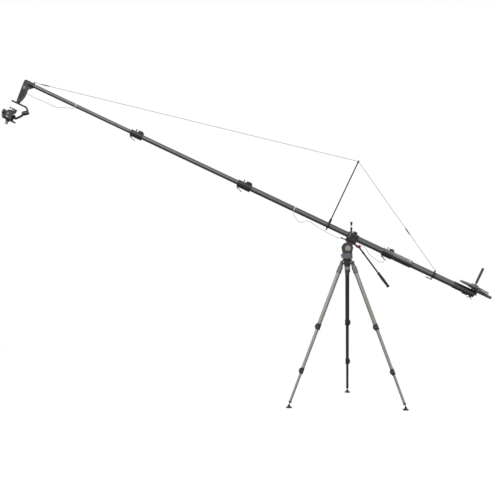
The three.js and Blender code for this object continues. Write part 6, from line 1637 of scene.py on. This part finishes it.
# Tripod crown
# One grey casting: a bowl with a thick rim, a hub below it, and three pairs of ears with ribs
# between them. A steel pin goes through each pair.
RIM_RADIUS, RIM_TOP, RIM_BOTTOM = 48.5, 1521, 1505
HUB_RADIUS, HUB_BOTTOM = 40, 1466
NECK_RADIUS, CROWN_BOTTOM = 33, 1442
STUD_HOLE = 15
BOWL_RADIUS = 38.3
LEG_PIVOT_RADIUS, LEG_PIVOT_HEIGHT = 58, 1488
EAR_RADIUS = 16
EAR_INSIDE, EAR_OUTSIDE = 13.3, 22.3
PIN_RADIUS = 5
TRIPOD_TURN = -6.3
LEG_AZIMUTHS = {"left": 210 + TRIPOD_TURN, "right": 330 + TRIPOD_TURN, "rear": 90 + TRIPOD_TURN}

crown_casting = metal_skin(
    "crown_casting", "cast_metal", (0.016, 0.018, 0.02), (0.045, 0.048, 0.053), 0.46, 0.35, grain=700,
    depth=0.0005)
crown_forms = [turned([
    (STUD_HOLE, CROWN_BOTTOM), (NECK_RADIUS - 1, CROWN_BOTTOM), (NECK_RADIUS, CROWN_BOTTOM + 1),
    (NECK_RADIUS, HUB_BOTTOM - 3), (HUB_RADIUS - 3, HUB_BOTTOM), (HUB_RADIUS, HUB_BOTTOM + 3),
    (HUB_RADIUS, RIM_BOTTOM - 5), (HUB_RADIUS + 4, RIM_BOTTOM), (RIM_RADIUS - 1, RIM_BOTTOM),
    (RIM_RADIUS, RIM_BOTTOM + 1.5), (RIM_RADIUS, RIM_TOP - 1.5), (RIM_RADIUS - 1.5, RIM_TOP),
    (BOWL_RADIUS + 0.4, RIM_TOP), *arc(BOWL_RADIUS, -6, -66, 8, (0, BALL_HEIGHT))[1:]], "z", 96)]
ear_outline = [
    (NECK_RADIUS, HUB_BOTTOM), *arc(EAR_RADIUS, -90, 90, 12, (LEG_PIVOT_RADIUS, LEG_PIVOT_HEIGHT)),
    (NECK_RADIUS, LEG_PIVOT_HEIGHT + EAR_RADIUS)]
pin_place = (LEG_PIVOT_RADIUS, 0, LEG_PIVOT_HEIGHT)
pin_forms = []
for azimuth in LEG_AZIMUTHS.values():
    turn = Matrix.Rotation(radians(azimuth), 4, "Z")
    for near, far in ((-EAR_OUTSIDE, -EAR_INSIDE), (EAR_INSIDE, EAR_OUTSIDE)):
        crown_forms.append(side_plate(ear_outline, near, far, 1.2).at(turn))
    pin_forms.append(bar(PIN_RADIUS, -EAR_OUTSIDE - 0.2, EAR_OUTSIDE + 0.2, "y", pin_place).at(turn))
    for near, far in ((-EAR_OUTSIDE - 1.8, -EAR_OUTSIDE + 0.5), (EAR_OUTSIDE - 0.5, EAR_OUTSIDE + 1.8)):
        pin_forms.append(bar(PIN_RADIUS + 2.2, near, far, "y", pin_place, 0.6, 32).at(turn))
piece("crown_body", "tripod", crown_casting, STAND, crown_forms, "tripod_crown")
piece("crown_pins", "tripod", bright_steel, STAND, pin_forms)

# Tripod legs
# Each leg has a cast shoulder and three tubes that slide in one another, with a flip lever lock
# on the two upper ones. The front legs' tubes are grey, and the rear leg's are much darker.
LEG_ANGLE = 23.2
LUG_HALF_WIDTH, LUG_RADIUS, LUG_LENGTH = 13, 16, 52
BARREL_RADIUS, BARREL_TOP, BARREL_BOTTOM = 26.5, -50, -126
BARREL_WAIST = (-107, -76, 1, 1)
BARREL_SEAT = -56.7
LEG_WALL = 2.4
LEG_STAGES = (("upper", "upper", 21.5, 57, 757, 17), ("middle", "lower", 17, 637, 1244, 13.5))
LOWER_RADIUS, LOWER_TOP, LOWER_END = 13.5, -1124, -1561
NECK_LENGTH = 34
COLLAR_EXTRA, COLLAR_LENGTH = 4.5, 62
BAND_GAP, BAND_THICKNESS, BAND_HALF_HEIGHT = 0.8, 7.5, 17
BAND_FROM, BAND_TO = 200, 340
BAND_EAR = 3.5
BAND_PIN_RADIUS = 2.4
FOOT_BALL_RADIUS, FOOT_BALL_HEIGHT = 9, 30
FOOT_STEM_RADIUS = 5
FOOT_RADIUS = 30
FOOT_PROFILE = [(0, 0.05), (28, 0.05), (30, 2), (30, 9), (27, 10.5), (24, 13), (14, 16), (12.5, 22),
                (12.5, 30)]
DRAWN_LINES, DRAWN_FINE, DRAWN_SCUFFS = (0.003, 0.003, 0.3), (0.001, 0.001, 0.08), (0.012, 0.012, 0.05)

shoulder_grey = metal_skin(
    "shoulder_grey", "cast_metal", (0.085, 0.086, 0.083), (0.2, 0.2, 0.195), 0.5, 0.3, grain=800,
    depth=0.0004)


def leg_skin(name, slot, dark, light, place, roughness, metallic):
    """Anodised tube with draw lines along the leg, and scuffs where the next tube has rubbed."""
    turn = tuple(place.to_euler())
    skin = Finish(name, slot, roughness, metallic)
    lines = skin.noise(1.0, 3.0, skin.turned_place(turn, DRAWN_LINES))
    fine = skin.noise(1.0, 2.0, skin.turned_place(turn, DRAWN_FINE))
    scuffs = skin.ramp(skin.noise(1.0, 4.0, skin.turned_place(turn, DRAWN_SCUFFS)), 0.6, 0.72)
    colour = skin.mix(dark, light, skin.ramp(lines * 0.6 + fine * 0.4, 0.3, 0.7))
    colour = skin.mix(colour, tuple(0.55 * part for part in dark), scuffs * 0.25)
    return skin.wear(
        colour, roughness=lines * 0.15 + scuffs * 0.2 + (roughness - 0.1), height=fine, depth=0.0001)


def arc_band(inside, outside, start, end, low, high):
    """A curved plate that wraps part of a tube, with rounded ends, standing on end."""
    ring, half = (inside + outside) / 2, (outside - inside) / 2
    outline = [
        *arc(outside, start, end, 20), *arc(half, end, end + 180, 6, polar(ring, end))[1:-1],
        *arc(inside, end, start, 20), *arc(half, start + 180, start + 360, 6, polar(ring, start))[1:-1]]
    return slab([(x, y, high) for x, y in outline], [(x, y, low) for x, y in outline], 1.0, 1)


def leg_lock(side, stage, radius, end, bore, place, body, lever):
    """The collar at a tube's foot, and the flip lever that hangs between its ears."""
    foot, top = -end, -end + COLLAR_LENGTH
    outside = radius + COLLAR_EXTRA
    inside = outside + BAND_GAP
    middle = top / 2 - end / 2
    low, high = middle - BAND_HALF_HEIGHT, middle + BAND_HALF_HEIGHT
    pin_at = (*polar(inside + BAND_THICKNESS / 2, BAND_TO), 0)
    piece(f"{stage}_collar_{side}", body, black_casting, place, [turned([
        (bore, foot), *barrel(outside, foot, top, 2, [(foot + 9, top - 9, 1.2, 1)], 3), (bore, top)])])
    ears = [bar(BAND_PIN_RADIUS, low - 4, high + 4, "z", pin_at, sides=20)]
    for ear_low in (low - SLIDE_FIT - BAND_EAR, high + SLIDE_FIT):
        ear_high = ear_low + BAND_EAR
        ears.append(bar(BAND_THICKNESS / 2, ear_low, ear_high, "z", pin_at, 0.5, 24))
        ears.append(block((polar(radius, BAND_TO)[0], pin_at[1] - BAND_THICKNESS / 2, ear_low),
                          (pin_at[0], pin_at[1] + BAND_THICKNESS / 2, ear_high), 0.6))
    piece(f"{stage}_ears_{side}", body, pale_metal, place, ears)
    screws(f"{stage}_collar_screws_{side}", body, place @ Matrix.Rotation(radians(60), 4, "Z"), 2,
           (outside - 0.9, 0, foot + 14), (0, 0, 34), 2.4, 2.0, turn=(0, pi / 2, 0))
    crest = inside + BAND_THICKNESS
    piece(f"{lever}_skin", lever, black_moulding, place, [
        arc_band(inside, crest, BAND_FROM, BAND_TO, low, high),
        arc_band(crest - 1, crest + 0.9, BAND_FROM + 30, BAND_TO - 40, low + 8, high - 8)], lever)


def leg(side, azimuth):
    turn = STAND @ Matrix.Rotation(radians(azimuth), 4, "Z")
    slope = Matrix.Rotation(-radians(LEG_ANGLE), 4, "Y")
    place = turn @ Matrix.Translation(pin_place) @ slope
    # The rear leg's tubes get a much darker copy of the leg skin than the front legs'.
    if side == "rear":
        shoulder, skin = base_anodised, leg_skin(
            "rear_leg_skin", "black_tube", (0.03, 0.03, 0.032), (0.062, 0.062, 0.064), turn @ slope, 0.34,
            0.4)
    else:
        shoulder, skin = shoulder_grey, leg_skin(
            f"{side}_leg_skin", "grey_tube", (0.215, 0.222, 0.195), (0.33, 0.34, 0.3), turn @ slope, 0.4,
            0.45)
    bodies = {"upper": f"leg_{side}", "middle": f"leg_middle_{side}", "lower": f"leg_lower_{side}"}
    seat = LEG_STAGES[0][2] + SLIDE_FIT
    piece(f"shoulder_casting_{side}", bodies["upper"], shoulder, place, [
        side_plate([(-LUG_RADIUS, -LUG_LENGTH), (LUG_RADIUS, -LUG_LENGTH), *arc(LUG_RADIUS, 0, 180, 12)],
                   -LUG_HALF_WIDTH, LUG_HALF_WIDTH, 1.6),
        turned([(0, BARREL_SEAT), (seat, BARREL_SEAT), (seat, BARREL_BOTTOM),
                *barrel(BARREL_RADIUS, BARREL_BOTTOM, BARREL_TOP, 1.5, [BARREL_WAIST], 4),
                (0, BARREL_TOP)], "z", 64),
        block((-4, -BARREL_RADIUS - 4, -118), (6, -BARREL_RADIUS + 6, -72), 1.5),
    ], f"shoulder_{side}")
    screws(f"shoulder_screws_{side}", bodies["upper"], place, 2, (1, -BARREL_RADIUS - 4.2, -110),
           (0, 0, 28), 2.8)
    for stage, lock, radius, top, end, next_radius in LEG_STAGES:
        neck = next_radius + SLIDE_FIT
        tube = turned([
            (neck, -end), (radius, -end), (radius, -top), (radius - LEG_WALL, -top),
            (radius - LEG_WALL, -end + NECK_LENGTH), (neck, -end + NECK_LENGTH)], "z", 64)
        piece(f"{stage}_skin_{side}", bodies[stage], skin, place, [tube], f"{stage}_tube_{side}")
        leg_lock(side, stage, radius, end, neck, place, bodies[stage], f"{lock}_lever_{side}")
    lower_bore, lower_floor = LOWER_RADIUS - LEG_WALL, LOWER_END + LOWER_RADIUS
    piece(f"lower_skin_{side}", bodies["lower"], skin, place, [turned([
        (0, LOWER_END), (LOWER_RADIUS - 1.5, LOWER_END), (LOWER_RADIUS, LOWER_END + 1.5),
        (LOWER_RADIUS, LOWER_TOP),
        (lower_bore, LOWER_TOP), (lower_bore, lower_floor), (0, lower_floor)])], f"lower_tube_{side}")
    foot_drop = LEG_PIVOT_HEIGHT - FOOT_BALL_HEIGHT
    foot_along = -foot_drop / cos(radians(LEG_ANGLE))
    piece(f"foot_stem_{side}", bodies["lower"], black_moulding, place, [
        bar(FOOT_STEM_RADIUS, foot_along, LOWER_END + 4, sides=28),
        ball(FOOT_BALL_RADIUS, (0, 0, foot_along)),
        turned([(0, LOWER_END - 3), (LOWER_RADIUS - 3, LOWER_END - 3), (LOWER_RADIUS + 1.2, LOWER_END + 1),
                (LOWER_RADIUS + 1.2, LOWER_END + 16), (LOWER_RADIUS, LOWER_END + 18),
                (0, LOWER_END + 18)], "z", 48)])
    sole = turn @ Matrix.Translation((LEG_PIVOT_RADIUS + foot_drop * tan(radians(LEG_ANGLE)), 0, 0))
    socket = FOOT_BALL_RADIUS + SLIDE_FIT
    pad = turned([
        *FOOT_PROFILE, *arc(socket, 0, -90, 8, (0, FOOT_BALL_HEIGHT))[:-1], (0, FOOT_BALL_HEIGHT - socket)])
    piece(f"foot_pad_{side}", f"foot_{side}", soft_rubber, sole, [pad], f"foot_{side}")
    ribs(f"foot_treads_{side}", f"foot_{side}", soft_rubber, sole, (0, 0, 5), "z", 20, FOOT_RADIUS - 0.3,
         (1.6, 3.0, 6))


for side, azimuth in LEG_AZIMUTHS.items():
    leg(side, azimuth)
